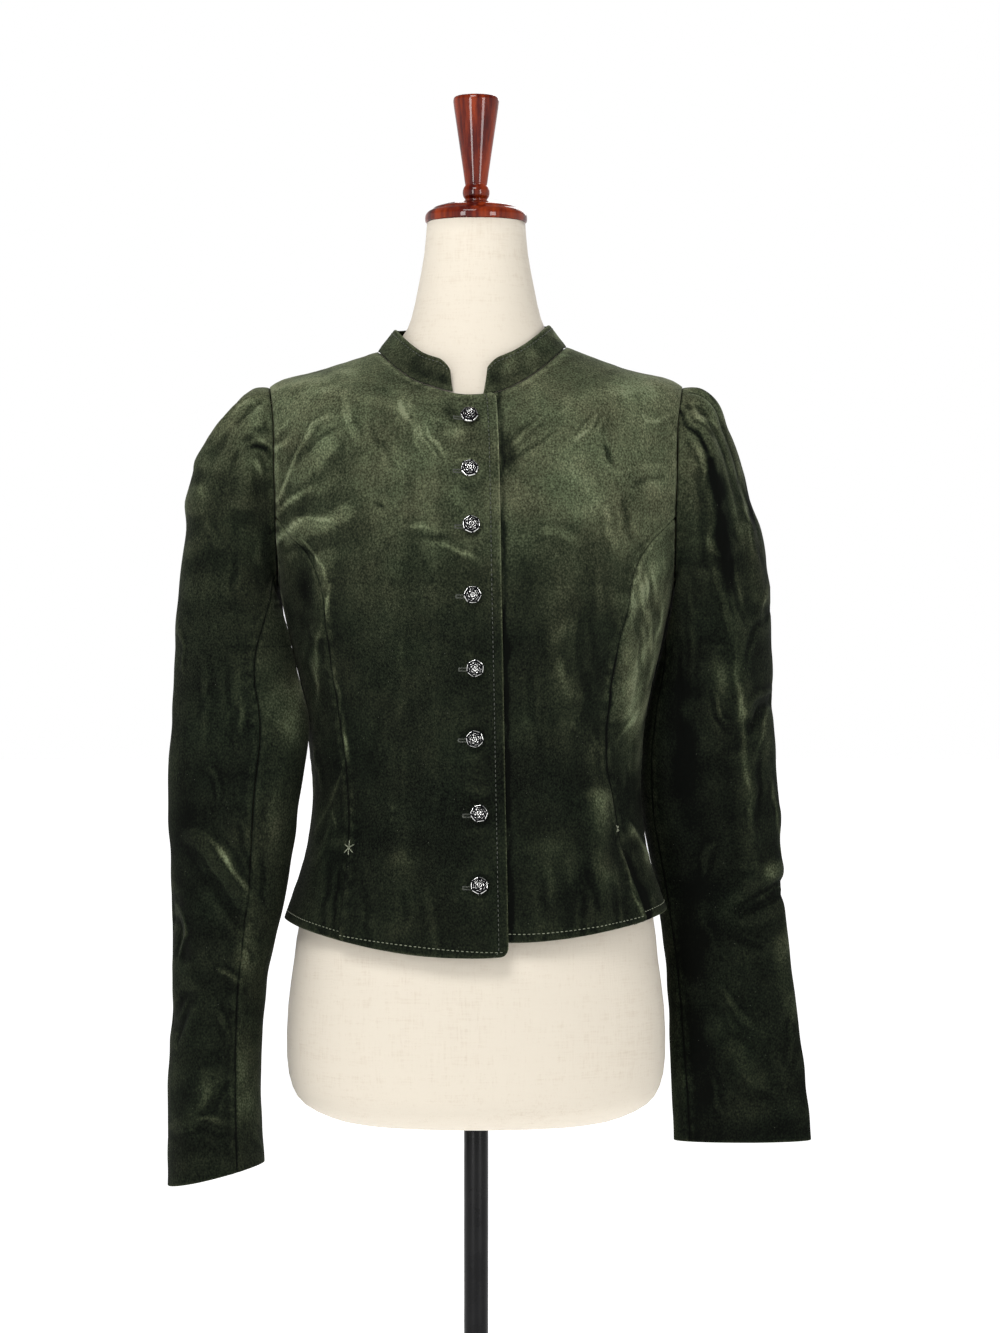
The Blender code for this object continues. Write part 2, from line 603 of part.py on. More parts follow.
def under_sleeve_grid(side, depth):
    rows = sleeve_rows()
    front, back = seam_angles(side, rows)
    base = partial(sleeve_base, side)
    first = front + half_seam(base, front, rows)
    last = back + 360.0 - half_seam(base, back, rows)
    angles = panel_angles(first, last, UNDER_COLUMNS)
    grid = sleeve_surface(side, angles, np.broadcast_to(rows[:, None], angles.shape), depth)
    return grid if side == "left" else grid[:, ::-1]


def round_the_neck(values, turn):
    """A value that goes smoothly round the neck, from front to side to back."""
    ahead = np.where(np.sin(turn) > 0, values["front left"], values["front right"])
    end = np.where(np.cos(turn) > 0, ahead, values["back"])
    return values["side"] + (end - values["side"]) * np.cos(turn) ** 2


def collar_grid(depth):
    """The stand collar, from its left end round the back to its right end."""
    share = np.linspace(0.0, 1.0, COLLAR_COLUMNS + 1)
    height = np.linspace(0.0, 1.0, COLLAR_ROWS + 1)[:, None]
    first = degrees(atan2(COLLAR_END_X["left"], BODY["neck"][2]))
    last = 360.0 + degrees(atan2(COLLAR_END_X["right"], BODY["neck"][2]))
    slant = COLLAR_SLANT * height
    angles = (first + slant) * (1 - share) + (last - slant) * share
    neck = np.full(angles.shape, float(NECK))
    over_left_front = (angles > 270.0) * closure_lift(body_base(angles, neck)[..., 0])
    foot = body_surface(angles, neck, over_left_front * (LAYER + COLLAR_WALL - WALL) / LAYER)
    from_end = np.minimum(angles - first, last - angles) * radians(1.0) * BODY["neck"][2]
    corner = np.clip(1 - from_end / COLLAR_CORNER, 0.0, 1.0)
    rise = round_the_neck(COLLAR_RISE, np.radians(angles))
    lean = round_the_neck(COLLAR_LEAN, np.radians(angles))
    climb = height * (1 - COLLAR_CORNER / rise * (1 - np.sqrt(1 - corner**2)))
    radial = foot * np.array([1.0, 1.0, 0.0])
    radial = radial / np.linalg.norm(radial, axis=-1, keepdims=True)
    grid = foot - radial * (lean * climb + depth)[..., None]
    grid[..., 2] += COLLAR_GAP + rise * climb
    return grid


def grid_triangles(index, points):
    """Two triangles for each cell of a grid of point numbers, split along the cell's shorter diagonal."""
    low, low_next = index[:-1, :-1].ravel(), index[:-1, 1:].ravel()
    high, high_next = index[1:, :-1].ravel(), index[1:, 1:].ravel()
    rising = np.linalg.norm(points[low] - points[high_next], axis=1)
    falling = np.linalg.norm(points[low_next] - points[high], axis=1)
    by_rising = np.stack([low, low_next, high_next, low, high_next, high], axis=1)
    by_falling = np.stack([low, low_next, high, low_next, high_next, high], axis=1)
    return np.where((rising <= falling)[:, None], by_rising, by_falling).reshape(-1, 3)


def cloth_sheet(name, grid_at, wall, material, collection):
    """A wall of cloth between two grids: the outer face at depth 0, and the inner face at depth wall."""
    outer, inner = grid_at(0.0), grid_at(wall)
    rows, columns = outer.shape[:2]
    count = rows * columns
    index = np.arange(count).reshape(rows, columns)
    rim = np.concatenate((index[0, :-1], index[:-1, -1], index[-1, :0:-1], index[:0:-1, 0]))
    rim = np.append(rim, rim[0])
    points = np.concatenate((outer.reshape(-1, 3), inner.reshape(-1, 3)))
    skin = grid_triangles(index, points)
    edge = grid_triangles(np.stack([rim + count, rim]), points)
    mesh = bpy.data.meshes.new(name)
    mesh.from_pydata(points.tolist(), [], np.concatenate((skin, skin[:, ::-1] + count, edge)).tolist())
    mesh.shade_smooth()
    mesh.materials.append(material)
    obj = bpy.data.objects.new(name, mesh)
    collection.objects.link(obj)


def turned(name, profile, steps, material, collection):
    """A solid of revolution about its own Z, from a profile that runs down its outer side."""
    mesh = bpy.data.meshes.new(name)
    points = [(radius, 0.0, height) for radius, height in profile]
    mesh.from_pydata(points, [(i, i + 1) for i in range(len(points) - 1)], [])
    obj = bpy.data.objects.new(name, mesh)
    screw = obj.modifiers.new("Turned", "SCREW")
    screw.steps = screw.render_steps = steps
    screw.use_merge_vertices = True
    screw.merge_threshold = 0.00001
    screw.use_smooth_shade = True
    mesh.materials.append(material)
    collection.objects.link(obj)
    return obj


def level_at_height(height):
    """The level whose centre front is at a height."""
    levels = np.linspace(HEM, NECK, 400)
    return float(np.interp(height, body_base(np.zeros(400), levels)[:, 2], levels))


def add_button(number, height, x, material, collection):
    """A domed shank button that stands on the right front, square to the cloth."""
    level = np.array(level_at_height(height))
    angle = angle_at_x(x, level)
    seat = body_surface(angle, level, LAYER + BUTTON_STANDOFF)
    normal = surface_normals(body_base, angle, level, 0.4, 0.02)
    button = turned(f"button_{number}", BUTTON_PROFILE, BUTTON_STEPS, material, collection)
    button.location = seat
    button.rotation_euler = Vector(normal).to_track_quat("Z", "Y").to_euler()


def form_ring(table, level, angles):
    """A ring of the form's hips or neck."""
    values = {name: column(table, FORM_COLUMNS, name, level) for name in FORM_COLUMNS}
    turn = np.radians(angles)
    x, y = rounded_section(turn, values["half_width"], values["front"], values["back"], FORM_SQUARENESS)
    facing = np.cos(turn)
    rise = np.where(facing > 0, values["front_rise"], values["back_rise"])
    return np.stack([x, y, values["z"] + rise * facing**2], axis=-1)


def form_body_ring(level, angles):
    """A ring of the form inside the jacket, which stops at a flat plate in each armhole."""
    levels = np.full(angles.shape, float(level))
    points = body_base(angles, levels)
    normals = surface_normals(body_base, angles, np.clip(levels, 0.02, NECK - 0.02), 0.4, 0.02)
    points = points - normals * (WALL + body_column("ease", levels))[..., None]
    reach = np.abs(points[..., 0]) - (ARM_PLATE_X - ARM_PLATE_SOFT)
    eased = ARM_PLATE_SOFT * np.tanh(np.clip(reach, 0.0, None) / ARM_PLATE_SOFT)
    points[..., 0] -= np.sign(points[..., 0]) * (np.clip(reach, 0.0, None) - eased)
    return points


def add_form(material, collection):
    """The limbless form: hips, torso and neck in one closed skin."""
    angles = np.arange(FORM_COLUMNS_ROUND) * 360.0 / FORM_COLUMNS_ROUND
    rings = [form_ring(FORM_HIPS, row, angles) for row in range(len(FORM_HIPS))]
    rings += [form_body_ring(level, angles) for level in FORM_LEVELS]
    rings += [form_ring(FORM_NECK, row, angles) for row in range(len(FORM_NECK))]
    count = FORM_COLUMNS_ROUND
    faces = [tuple(reversed(range(count)))]
    for i in range(len(rings) - 1):
        for j in range(count):
            after = (j + 1) % count
            faces.append((i * count + j, i * count + after, (i + 1) * count + after, (i + 1) * count + j))
    faces.append(tuple(range((len(rings) - 1) * count, len(rings) * count)))
    mesh = bpy.data.meshes.new("dress_form")
    mesh.from_pydata(np.concatenate(rings).tolist(), [], faces)
    mesh.shade_smooth()
    mesh.materials.append(material)
    obj = bpy.data.objects.new("dress_form", mesh)
    collection.objects.link(obj)


def add_pole(foot, top, material, collection):
    """The round pole between the base's hub and the form."""
    bpy.ops.mesh.primitive_cylinder_add(
        vertices=TURNED_STEPS,
        radius=POLE_RADIUS,
        depth=top - foot,
        location=(0.0, 0.0, (top + foot) / 2),
    )
    pole = bpy.context.active_object
    pole.name = pole.data.name = "pole"
    pole.data.shade_smooth()
    pole.data.set_sharp_from_angle(angle=radians(40.0))
    pole.data.materials.append(material)
    for holder in pole.users_collection:
        holder.objects.unlink(pole)
    collection.objects.link(pole)


def add_stand(wood, metal, collection):
    turned("neck_cap", CAP_PROFILE, TURNED_STEPS, wood, collection)
    turned("finial", FINIAL_PROFILE, TURNED_STEPS, wood, collection)
    form_bottom = FORM_HIPS["underside"][0]
    add_pole(HUB_HEIGHT + TOUCH, form_bottom - TOUCH, metal, collection)
    bevel = 0.004
    base = (
        (0.0, HUB_HEIGHT),
        (HUB_RADIUS, HUB_HEIGHT),
        (HUB_RADIUS, BASE_THICK),
        (BASE_RADIUS - bevel, BASE_THICK),
        (BASE_RADIUS, BASE_THICK - bevel),
        (BASE_RADIUS, 0.0),
        (0.0, 0.0),
    )
    turned("base", base, TURNED_STEPS + 12, metal, collection)


def add_jacket(velvet, silver, collection):
    cloth_sheet("front_right", right_front_grid, WALL, velvet, collection)
    cloth_sheet("front_left", left_front_grid, WALL, velvet, collection)
    cloth_sheet("back", back_grid, WALL, velvet, collection)
    cloth_sheet("collar", collar_grid, COLLAR_WALL, velvet, collection)
    for side in SIDE_SIGN:
        cloth_sheet(f"side_front_{side}", partial(side_front_grid, side), WALL, velvet, collection)
        cloth_sheet(f"top_sleeve_{side}", partial(top_sleeve_grid, side), WALL, velvet, collection)
        cloth_sheet(f"under_sleeve_{side}", partial(under_sleeve_grid, side), WALL, velvet, collection)
    for number, (height, x) in enumerate(BUTTONS, start=1):
        add_button(number, height, x, silver, collection)


def main():
    clear_scene()
    collection = new_collection("Velvet jacket on a dress form")
    materials = {name: new_material(name) for name in COLOURS}
    add_form(materials["linen"], collection)
    add_stand(materials["wood"], materials["black metal"], collection)
    add_jacket(materials["velvet"], materials["antique silver"], collection)


main()
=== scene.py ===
"""Looks of the cropped velvet jacket on its dress form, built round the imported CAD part.

Metres, +Z up, in the CAD's frame. The garment faces -Y; left and right are the wearer's, and left is at +X.
The tables and the functions of the cut repeat those of the CAD source, and are sampled more finely here.
"""

from functools import partial
from math import atan2, degrees, radians

import bpy
import numpy as np
from mathutils import Matrix, Vector


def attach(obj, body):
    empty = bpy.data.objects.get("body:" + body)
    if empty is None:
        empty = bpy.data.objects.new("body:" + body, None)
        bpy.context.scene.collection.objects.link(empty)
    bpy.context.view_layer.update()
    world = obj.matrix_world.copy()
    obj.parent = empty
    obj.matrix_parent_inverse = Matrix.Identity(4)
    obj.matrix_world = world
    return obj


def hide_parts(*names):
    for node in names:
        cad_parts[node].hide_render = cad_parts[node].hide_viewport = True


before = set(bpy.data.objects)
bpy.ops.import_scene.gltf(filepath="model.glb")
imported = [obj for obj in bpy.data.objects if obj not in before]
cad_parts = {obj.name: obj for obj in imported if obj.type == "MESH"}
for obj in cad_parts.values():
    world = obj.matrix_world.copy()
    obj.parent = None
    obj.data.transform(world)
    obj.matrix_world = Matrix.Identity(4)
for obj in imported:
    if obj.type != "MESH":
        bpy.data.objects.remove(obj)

# Cloth and clearances
WALL = 0.0016
COLLAR_WALL = 0.0022
SEAM_HALF = 0.00017
LAYER_GAP = 0.0007
LAYER = WALL + LAYER_GAP
SLEEVE_GAP = 0.0004
COLLAR_GAP = 0.0005
TOUCH = 0.0003
BUTTON_STANDOFF = 0.0005

# The jacket's body is a stack of rounded sections. A level is a row number, and may be a fraction.
# rise lifts the section's front or back above its side, shift moves it to the wearer's left, and
# right_drop lowers its right side; ease is the room between cloth and form.
BODY_COLUMNS = (
    "z", "half_width", "front", "back", "squareness",
    "front_rise", "back_rise", "shift", "right_drop", "ease",
)
BODY = {
    "hem": (0.8855, 0.1680, 0.1280, 0.1220, 2.20, -0.0345, -0.008, 0.000, 0.0080, 0.0120),
    "high hip": (0.9260, 0.1535, 0.1190, 0.1100, 2.20, -0.0230, -0.004, 0.000, 0.0055, 0.0150),
    "low waist": (0.9660, 0.1456, 0.1100, 0.0990, 2.20, -0.0100, 0.000, 0.000, 0.0030, 0.0170),
    "waist": (1.0080, 0.1445, 0.1065, 0.0960, 2.20, -0.0040, 0.000, 0.000, 0.0010, 0.0160),
    "ribs": (1.0600, 0.1500, 0.1120, 0.0990, 2.25, 0.0000, 0.000, 0.000, 0.0000, 0.0110),
    "under bust": (1.1150, 0.1620, 0.1200, 0.1030, 2.30, 0.0000, 0.000, 0.000, 0.0000, 0.0060),
    "underarm": (1.1680, 0.1735, 0.1260, 0.1060, 2.30, 0.0000, 0.000, 0.000, 0.0000, 0.0030),
    "chest": (1.2350, 0.1860, 0.1230, 0.1070, 2.30, -0.0100, 0.000, 0.000, 0.0000, 0.0025),
    "yoke": (1.3000, 0.1920, 0.1120, 0.1020, 2.30, -0.0280, -0.002, 0.000, 0.0000, 0.0024),
    "shoulder": (1.3430, 0.1810, 0.1010, 0.0900, 2.20, -0.0430, -0.008, 0.000, 0.0000, 0.0022),
    "mid shoulder": (1.3600, 0.1320, 0.0930, 0.0740, 2.10, -0.0450, -0.002, -0.002, 0.0015, 0.0020),
    "neck": (1.3785, 0.0830, 0.0830, 0.0580, 2.00, -0.0485, 0.004, -0.0035, 0.0040, 0.0022),
}
HEM, UNDERARM, SHOULDER, NECK = 0, 6, 9, 11

# The bust shaping that the seams give, on both sides of the centre front
CUP_X, CUP_Z = 0.078, 1.165
CUP_RADIUS = 0.042
CUP_DEPTH = 0.009

# Armhole: an oval round the side, between the underarm and the shoulder point
ARMHOLE_MIDDLE = (UNDERARM + SHOULDER) / 2
ARMHOLE_REACH = (SHOULDER - UNDERARM) / 2
ARMHOLE_SWING = 18.0
ARMHOLE_FULLNESS = 2.3

# Princess seams: degrees from the centre front at each level, then a curve into the armhole
PRINCESS = {
    "left": (63.6, 63.0, 60.8, 58.0, 54.6, 53.6, 56.0, 56.5),
    "right": (50.4, 52.4, 54.4, 56.6, 57.0, 56.0, 54.0, 54.0),
}
PRINCESS_TURN, PRINCESS_JOIN = 5.6, 6.9
PRINCESS_POWER = {"left": 3.4, "right": 2.4}
SIDE_TOP = 6.86

# The vent under the tack, where the side panel runs in under the centre one
TACK_LEVEL, VENT_LEVEL, LAP_LEVEL = 1.75, 1.4, 1.05
LAP = 3.3
LAP_FADE = (2.0, 16.0)
VENT_FLARE = {"left": 0.0050, "right": 0.0012}
FLARE_SPREAD = 9.0

# Front closure: the right front's edge, its lift over the left front, and the left front's underlap
CLOSURE_X = {HEM: 0.0285, 3: 0.0255, 6: 0.0225, 9: 0.0195, 10: 0.0210, NECK: 0.0215}
UNDERLAP_X = -0.018
LIFT_FULL_X, LIFT_END_X = -0.032, -0.058
LEFT_SHORT, LEFT_SHORT_POWER, LEFT_SHORT_TOP = 0.38, 1.4, 1.4

# Folds: soft ridges (height > 0) and troughs, each from one end to the other as x and z of both ends,
# then its width and height
BODY_FOLDS = {
    "front": (
        (-0.150, 1.214, -0.112, 1.226, 0.0110, 0.0050),
        (-0.150, 1.262, -0.128, 1.286, 0.0090, 0.0025),
        (-0.128, 1.190, -0.133, 1.130, 0.0100, 0.0030),
        (0.104, 0.985, 0.106, 0.885, 0.0130, 0.0060),
        (0.128, 1.150, 0.124, 1.060, 0.0110, 0.0035),
        (-0.060, 0.930, -0.064, 0.880, 0.0160, 0.0030),
        (0.056, 0.940, 0.060, 0.880, 0.0160, 0.0035),
    ),
    "back": (
        (-0.075, 1.010, -0.085, 0.885, 0.0160, 0.0050),
        (0.070, 1.010, 0.082, 0.885, 0.0160, 0.0050),
        (-0.010, 0.960, -0.014, 0.885, 0.0180, 0.0035),
        (-0.110, 1.190, -0.135, 1.235, 0.0120, 0.0030),
        (0.112, 1.180, 0.136, 1.240, 0.0120, 0.0030),
        (-0.060, 1.050, 0.040, 1.042, 0.0100, 0.0025),
    ),
}

# Sleeves below the armhole: a section for each row, with x measured outwards from the centre.
# turn swings the section about the vertical, and tilt lifts its outer end.
SLEEVE_COLUMNS = ("z", "x", "y", "half_width", "half_depth", "turn", "tilt")
SLEEVE = {
    "left": {
        "bicep": (1.115, 0.2115, 0.025, 0.0500, 0.0580, -8.0, 0.000),
        "above elbow": (1.050, 0.2058, 0.024, 0.0580, 0.0500, -10.0, 0.000),
        "elbow": (0.980, 0.2070, 0.036, 0.0625, 0.0430, -13.0, 0.000),
        "below elbow": (0.905, 0.2160, 0.044, 0.0580, 0.0350, -16.0, 0.000),
        "forearm": (0.835, 0.2240, 0.038, 0.0570, 0.0300, -14.0, 0.000),
        "wrist": (0.757, 0.2305, 0.029, 0.0590, 0.0260, -10.0, 0.000),
        "cuff": (0.679, 0.2355, 0.020, 0.0605, 0.0225, -8.0, 0.001),
    },
    "right": {
        "bicep": (1.115, 0.2124, -0.022, 0.0504, 0.0540, 12.0, 0.000),
        "above elbow": (1.050, 0.2055, -0.031, 0.0615, 0.0460, 15.0, 0.000),
        "elbow": (0.985, 0.2105, -0.036, 0.0590, 0.0420, 15.0, 0.000),
        "below elbow": (0.905, 0.2152, -0.033, 0.0510, 0.0430, 9.0, 0.000),
        "forearm": (0.825, 0.2230, -0.026, 0.0415, 0.0450, 4.0, -0.002),
        "wrist": (0.740, 0.2284, -0.022, 0.0404, 0.0445, 0.0, -0.006),
        "cuff": (0.655, 0.2277, -0.020, 0.0420, 0.0430, 0.0, -0.010),
    },
}
CUFF_ROW = 6
SLEEVE_FOLDS = {
    "left": {
        "front": (
            (0.2000, 1.288, 0.2140, 1.200, 0.0080, 0.0045),
            (0.2140, 1.200, 0.2376, 1.055, 0.0100, 0.0035),
            (0.1960, 1.262, 0.2020, 1.190, 0.0080, -0.0030),
            (0.2360, 1.215, 0.2480, 1.160, 0.0090, 0.0035),
            (0.2640, 1.072, 0.2420, 1.050, 0.0090, -0.0040),
            (0.2340, 1.015, 0.2410, 0.925, 0.0110, 0.0040),
            (0.2680, 0.898, 0.2360, 0.884, 0.0080, -0.0040),
            (0.2640, 0.918, 0.2420, 0.908, 0.0090, 0.0030),
            (0.2300, 0.760, 0.2450, 0.735, 0.0110, 0.0025),
        ),
        "back": (
            (0.2060, 1.280, 0.2220, 1.160, 0.0090, 0.0040),
            (0.2500, 1.060, 0.2150, 1.035, 0.0100, -0.0040),
            (0.2480, 1.000, 0.2120, 0.965, 0.0110, -0.0040),
            (0.2300, 0.930, 0.2400, 0.840, 0.0110, 0.0035),
        ),
    },
    "right": {
        "front": (
            (0.2000, 1.330, 0.2420, 1.276, 0.0070, 0.0040),
            (0.1960, 1.285, 0.1990, 1.240, 0.0080, 0.0030),
            (0.2400, 0.952, 0.2040, 0.897, 0.0090, 0.0045),
            (0.2250, 0.915, 0.2000, 0.880, 0.0080, -0.0030),
            (0.2640, 0.893, 0.2560, 0.850, 0.0080, -0.0035),
            (0.2500, 0.811, 0.2630, 0.788, 0.0080, -0.0035),
            (0.2290, 0.744, 0.2480, 0.702, 0.0100, 0.0030),
        ),
        "back": (
            (0.2060, 1.280, 0.2260, 1.150, 0.0090, 0.0040),
            (0.2500, 1.050, 0.2100, 1.020, 0.0100, -0.0040),
            (0.2480, 0.990, 0.2150, 0.950, 0.0100, -0.0040),
            (0.2300, 0.880, 0.2200, 0.790, 0.0110, 0.0035),
        ),
    },
}
# Folds that go round the sleeve head from its front to its back
HEAD_FOLDS = {
    "left": ((0.2240, 1.306, 0.2420, 1.248, 0.0180, -0.0065),),
    "right": (
        (0.2480, 1.272, 0.2530, 1.244, 0.0170, 0.0065),
        (0.2000, 1.340, 0.2180, 1.327, 0.0120, -0.0045),
    ),
}

# Sleeve head: how the cloth leaves the armhole at its top and at the underarm, and arrives at the bicep
HEAD_OUT, UNDER_OUT = 0.185, 0.022
HEAD_UP, UNDER_UP = 0.026, -0.042
HEAD_SPREAD = 0.050
HEAD_DROP, UNDER_DROP = 0.200, 0.060
TUCKS = {"left": (8.0, 27.0, 48.0), "right": (8.0, 46.0, 68.0)}
TUCK_WIDTH = 5.0
TUCK_DEPTH = {"left": 0.0042, "right": 0.0026}
TUCK_PUFF = 0.0030
TUCK_START, TUCK_FADE = 0.10, {"left": 0.42, "right": 0.24}

# Sleeve seams, as degrees round from the outer line, at the armhole and further down
FRONT_SEAM_TOP, BACK_SEAM_TOP = 150.0, -130.0
FRONT_SEAM = {"left": 138.0, "right": 121.0}
BACK_SEAM = -110.0
SEAM_SETTLES = 1.6
SIDE_SIGN = {"left": 1, "right": -1}

# Stand collar: height and inward lean at the front, side and back, and its two rounded front ends
COLLAR_RISE = {"front right": 0.0262, "front left": 0.0310, "side": 0.0190, "back": 0.0280}
COLLAR_LEAN = {"front right": 0.0110, "front left": 0.0110, "side": 0.0145, "back": 0.0020}
COLLAR_END_X = {"right": -0.0160, "left": 0.0100}
COLLAR_SLANT = 3.5
COLLAR_CORNER = 0.021
COLLAR_END_SHARE, COLLAR_COLUMNS = 0.03, 130

# Buttons: height of each and its distance from the centre
BUTTONS = (
    (1.3099, -0.0040),
    (1.2646, -0.0048),
    (1.2176, -0.0034),
    (1.1592, -0.0026),
    (1.0976, -0.0001),
    (1.0373, -0.0005),
    (0.9727, 0.0032),
    (0.9116, 0.0034),
)

# Dress form: hips under the hem and neck above the collar, in sections like the body's
FORM_COLUMNS = ("z", "half_width", "front", "back", "front_rise", "back_rise")
FORM_HIPS = {
    "underside": (0.6960, 0.078, 0.048, 0.055, 0.0, 0.0),
    "dome": (0.6992, 0.111, 0.074, 0.082, 0.0, 0.0),
    "lower edge": (0.7045, 0.131, 0.090, 0.097, 0.0, 0.0),
    "edge": (0.7150, 0.1510, 0.104, 0.112, 0.0, 0.0),
    "upper edge": (0.7300, 0.1615, 0.112, 0.120, 0.0, 0.0),
    "hips": (0.7560, 0.1662, 0.116, 0.126, 0.0, 0.0),
    "upper hips": (0.8000, 0.1652, 0.116, 0.125, 0.0, 0.0),
    "under hem": (0.8420, 0.1598, 0.1145, 0.118, -0.008, 0.0),
}
FORM_NECK = {
    "neck base": (1.3880, 0.0650, 0.0670, 0.0500, -0.034, 0.004),
    "low neck": (1.4040, 0.0570, 0.0580, 0.0475, -0.022, 0.003),
    "mid neck": (1.4300, 0.0512, 0.0512, 0.0465, -0.012, 0.002),
    "high neck": (1.4600, 0.0457, 0.0457, 0.0445, -0.004, 0.001),
    "neck top": (1.4880, 0.0432, 0.0432, 0.0432, 0.0, 0.0),
}
FORM_LEVELS = (0, 0.7, 1.4, 2.1, 2.8, 3.5, 4.2, 4.9, 5.5, 6.1, 6.7, 7.3, 7.9, 8.5, 9, 9.4, 9.8, 10.3, 11)
FORM_SQUARENESS = 2.15
ARM_PLATE_X, ARM_PLATE_SOFT = 0.169, 0.010
POLE_RADIUS = 0.0107
BASE_RADIUS = 0.165
BASE_THICK = 0.012
HUB_RADIUS, HUB_HEIGHT = 0.021, 0.040
HUB_BEVEL, HUB_FOOT, BASE_BEVEL = 0.004, 0.003, 0.005

# Turned wood, as radius and height down the outer side
CAP_FINE = (
    (0.0, 1.5065),
    (0.0140, 1.5062),
    (0.0270, 1.5047),
    (0.0345, 1.5024),
    (0.0372, 1.5014),
    (0.0385, 1.4998),
    (0.0425, 1.4978),
    (0.0446, 1.4950),
    (0.0450, 1.4920),
    (0.0446, 1.4883),
    (0.0, 1.4883),
)
FINIAL_FINE = (
    (0.0, 1.6000),
    (0.0172, 1.5997),
    (0.0196, 1.5985),
    (0.0202, 1.5955),
    (0.0194, 1.5890),
    (0.0150, 1.5590),
    (0.0112, 1.5330),
    (0.0099, 1.5232),
    (0.0094, 1.5212),
    (0.0106, 1.5198),
    (0.0117, 1.5172),
    (0.0119, 1.5142),
    (0.0113, 1.5112),
    (0.0095, 1.5088),
    (0.0102, 1.5069),
    (0.0, 1.5068),
)

# Colours along each ramp, as place and linear colour
# The velvet: from crushed nap and painted shade at 0 up to brushed nap and painted highlight at 1
VELVET_STOPS = (
    (0.00, (0.0012, 0.0017, 0.0011)),
    (0.14, (0.0062, 0.0086, 0.0050)),
    (0.30, (0.0160, 0.0196, 0.0108)),
    (0.45, (0.0340, 0.0395, 0.0222)),
    (0.62, (0.0640, 0.0730, 0.0410)),
    (0.80, (0.1060, 0.1200, 0.0690)),
    (1.00, (0.1700, 0.1880, 0.1150)),
)
LINEN_STOPS = (
    (0.40, (0.46, 0.39, 0.30)),
    (0.58, (0.60, 0.53, 0.435)),
    (0.78, (0.65, 0.59, 0.495)),
)
WOOD_STOPS = (
    (0.34, (0.020, 0.0008, 0.0003)),
    (0.50, (0.070, 0.0034, 0.0006)),
    (0.70, (0.250, 0.0290, 0.0028)),
)
SILVER_STOPS = (
    (0.20, (0.60, 0.60, 0.58)),
    (0.36, (0.12, 0.12, 0.12)),
    (0.52, (0.004, 0.004, 0.005)),
)
LIGHT_THREAD = ((0.35, (0.11, 0.125, 0.075)), (0.65, (0.24, 0.26, 0.17)))
DARK_THREAD = ((0.35, (0.016, 0.020, 0.012)), (0.65, (0.042, 0.049, 0.029)))

# White at eye level, dimmer above. Positions run from eye level at 0 to straight up at 1.
WORLD_STOPS = ((0.22, 1.0), (0.42, 0.32))
# Name, place, target, size, power, and whether it lights matt surfaces or only shows in gloss
LIGHTS = (
    ("key", (-0.6, -2.0, 3.2), (0.0, 0.0, 1.1), (1.2, 0.9), 56.0, True),
    ("left strip", (-1.5, -2.7, 1.6), (0.0, 0.0, 1.4), (0.60, 1.7), 58.0, False),
    ("right strip", (1.9, -2.4, 1.6), (0.0, 0.0, 1.4), (0.70, 1.7), 52.0, False),
    ("back", (0.6, 2.6, 2.6), (0.0, 0.0, 1.2), (1.6, 1.2), 26.0, True),
)

FLOOR_RADIUS, FLOOR_SIDES, FLOOR_HEIGHT = 40, 64, -0.0005

# Each sheet's cut: the flat piece's width and length, and its area
FLAT = {
    "front_right": ((0.255, 0.645), 0.092),
    "front_left": ((0.255, 0.640), 0.091),
    "back": ((0.475, 0.635), 0.212),
    "collar": ((0.480, 0.034), 0.0118),
    "side_front_left": ((0.105, 0.380), 0.029),
    "side_front_right": ((0.125, 0.395), 0.032),
    "top_sleeve_left": ((0.400, 0.700), 0.148),
    "top_sleeve_right": ((0.400, 0.735), 0.142),
    "under_sleeve_left": ((0.105, 0.540), 0.044),
    "under_sleeve_right": ((0.120, 0.560), 0.053),
}

# Star-shaped thread tacks at the tops of the vents, in pixels, and their stitches' turns and lengths
STAR_RIGHT, STAR_LEFT = (349.3, 846.8), (617.0, 829.0)
STAR_ARMS = {
    "right": ((152, 0.0062), (92, 0.0068), (30, 0.0060), (222, 0.0068), (272, 0.0062), (322, 0.0058)),
    "left": ((120, 0.0030), (50, 0.0026), (240, 0.0034), (300, 0.0030)),
}
STAR_LIFT, STAR_INSIDE, STAR_RADIUS, STAR_AROUND, STAR_BEHIND = 0.0006, 0.0002, 0.00046, 0.006, 0.03

# The photograph's camera. Creases and the marks of nap and of painted light and shade below are placed as
# it sees them, in pixels of its 1000 x 1333 frame, and those of the back as if it saw through the jacket.
CAMERA = (0.021, -3.2, 1.098)
PIXEL = 0.00088
FRAME_CENTRE = (499.86, 666.45)
VIEW_HEIGHT = 1.173

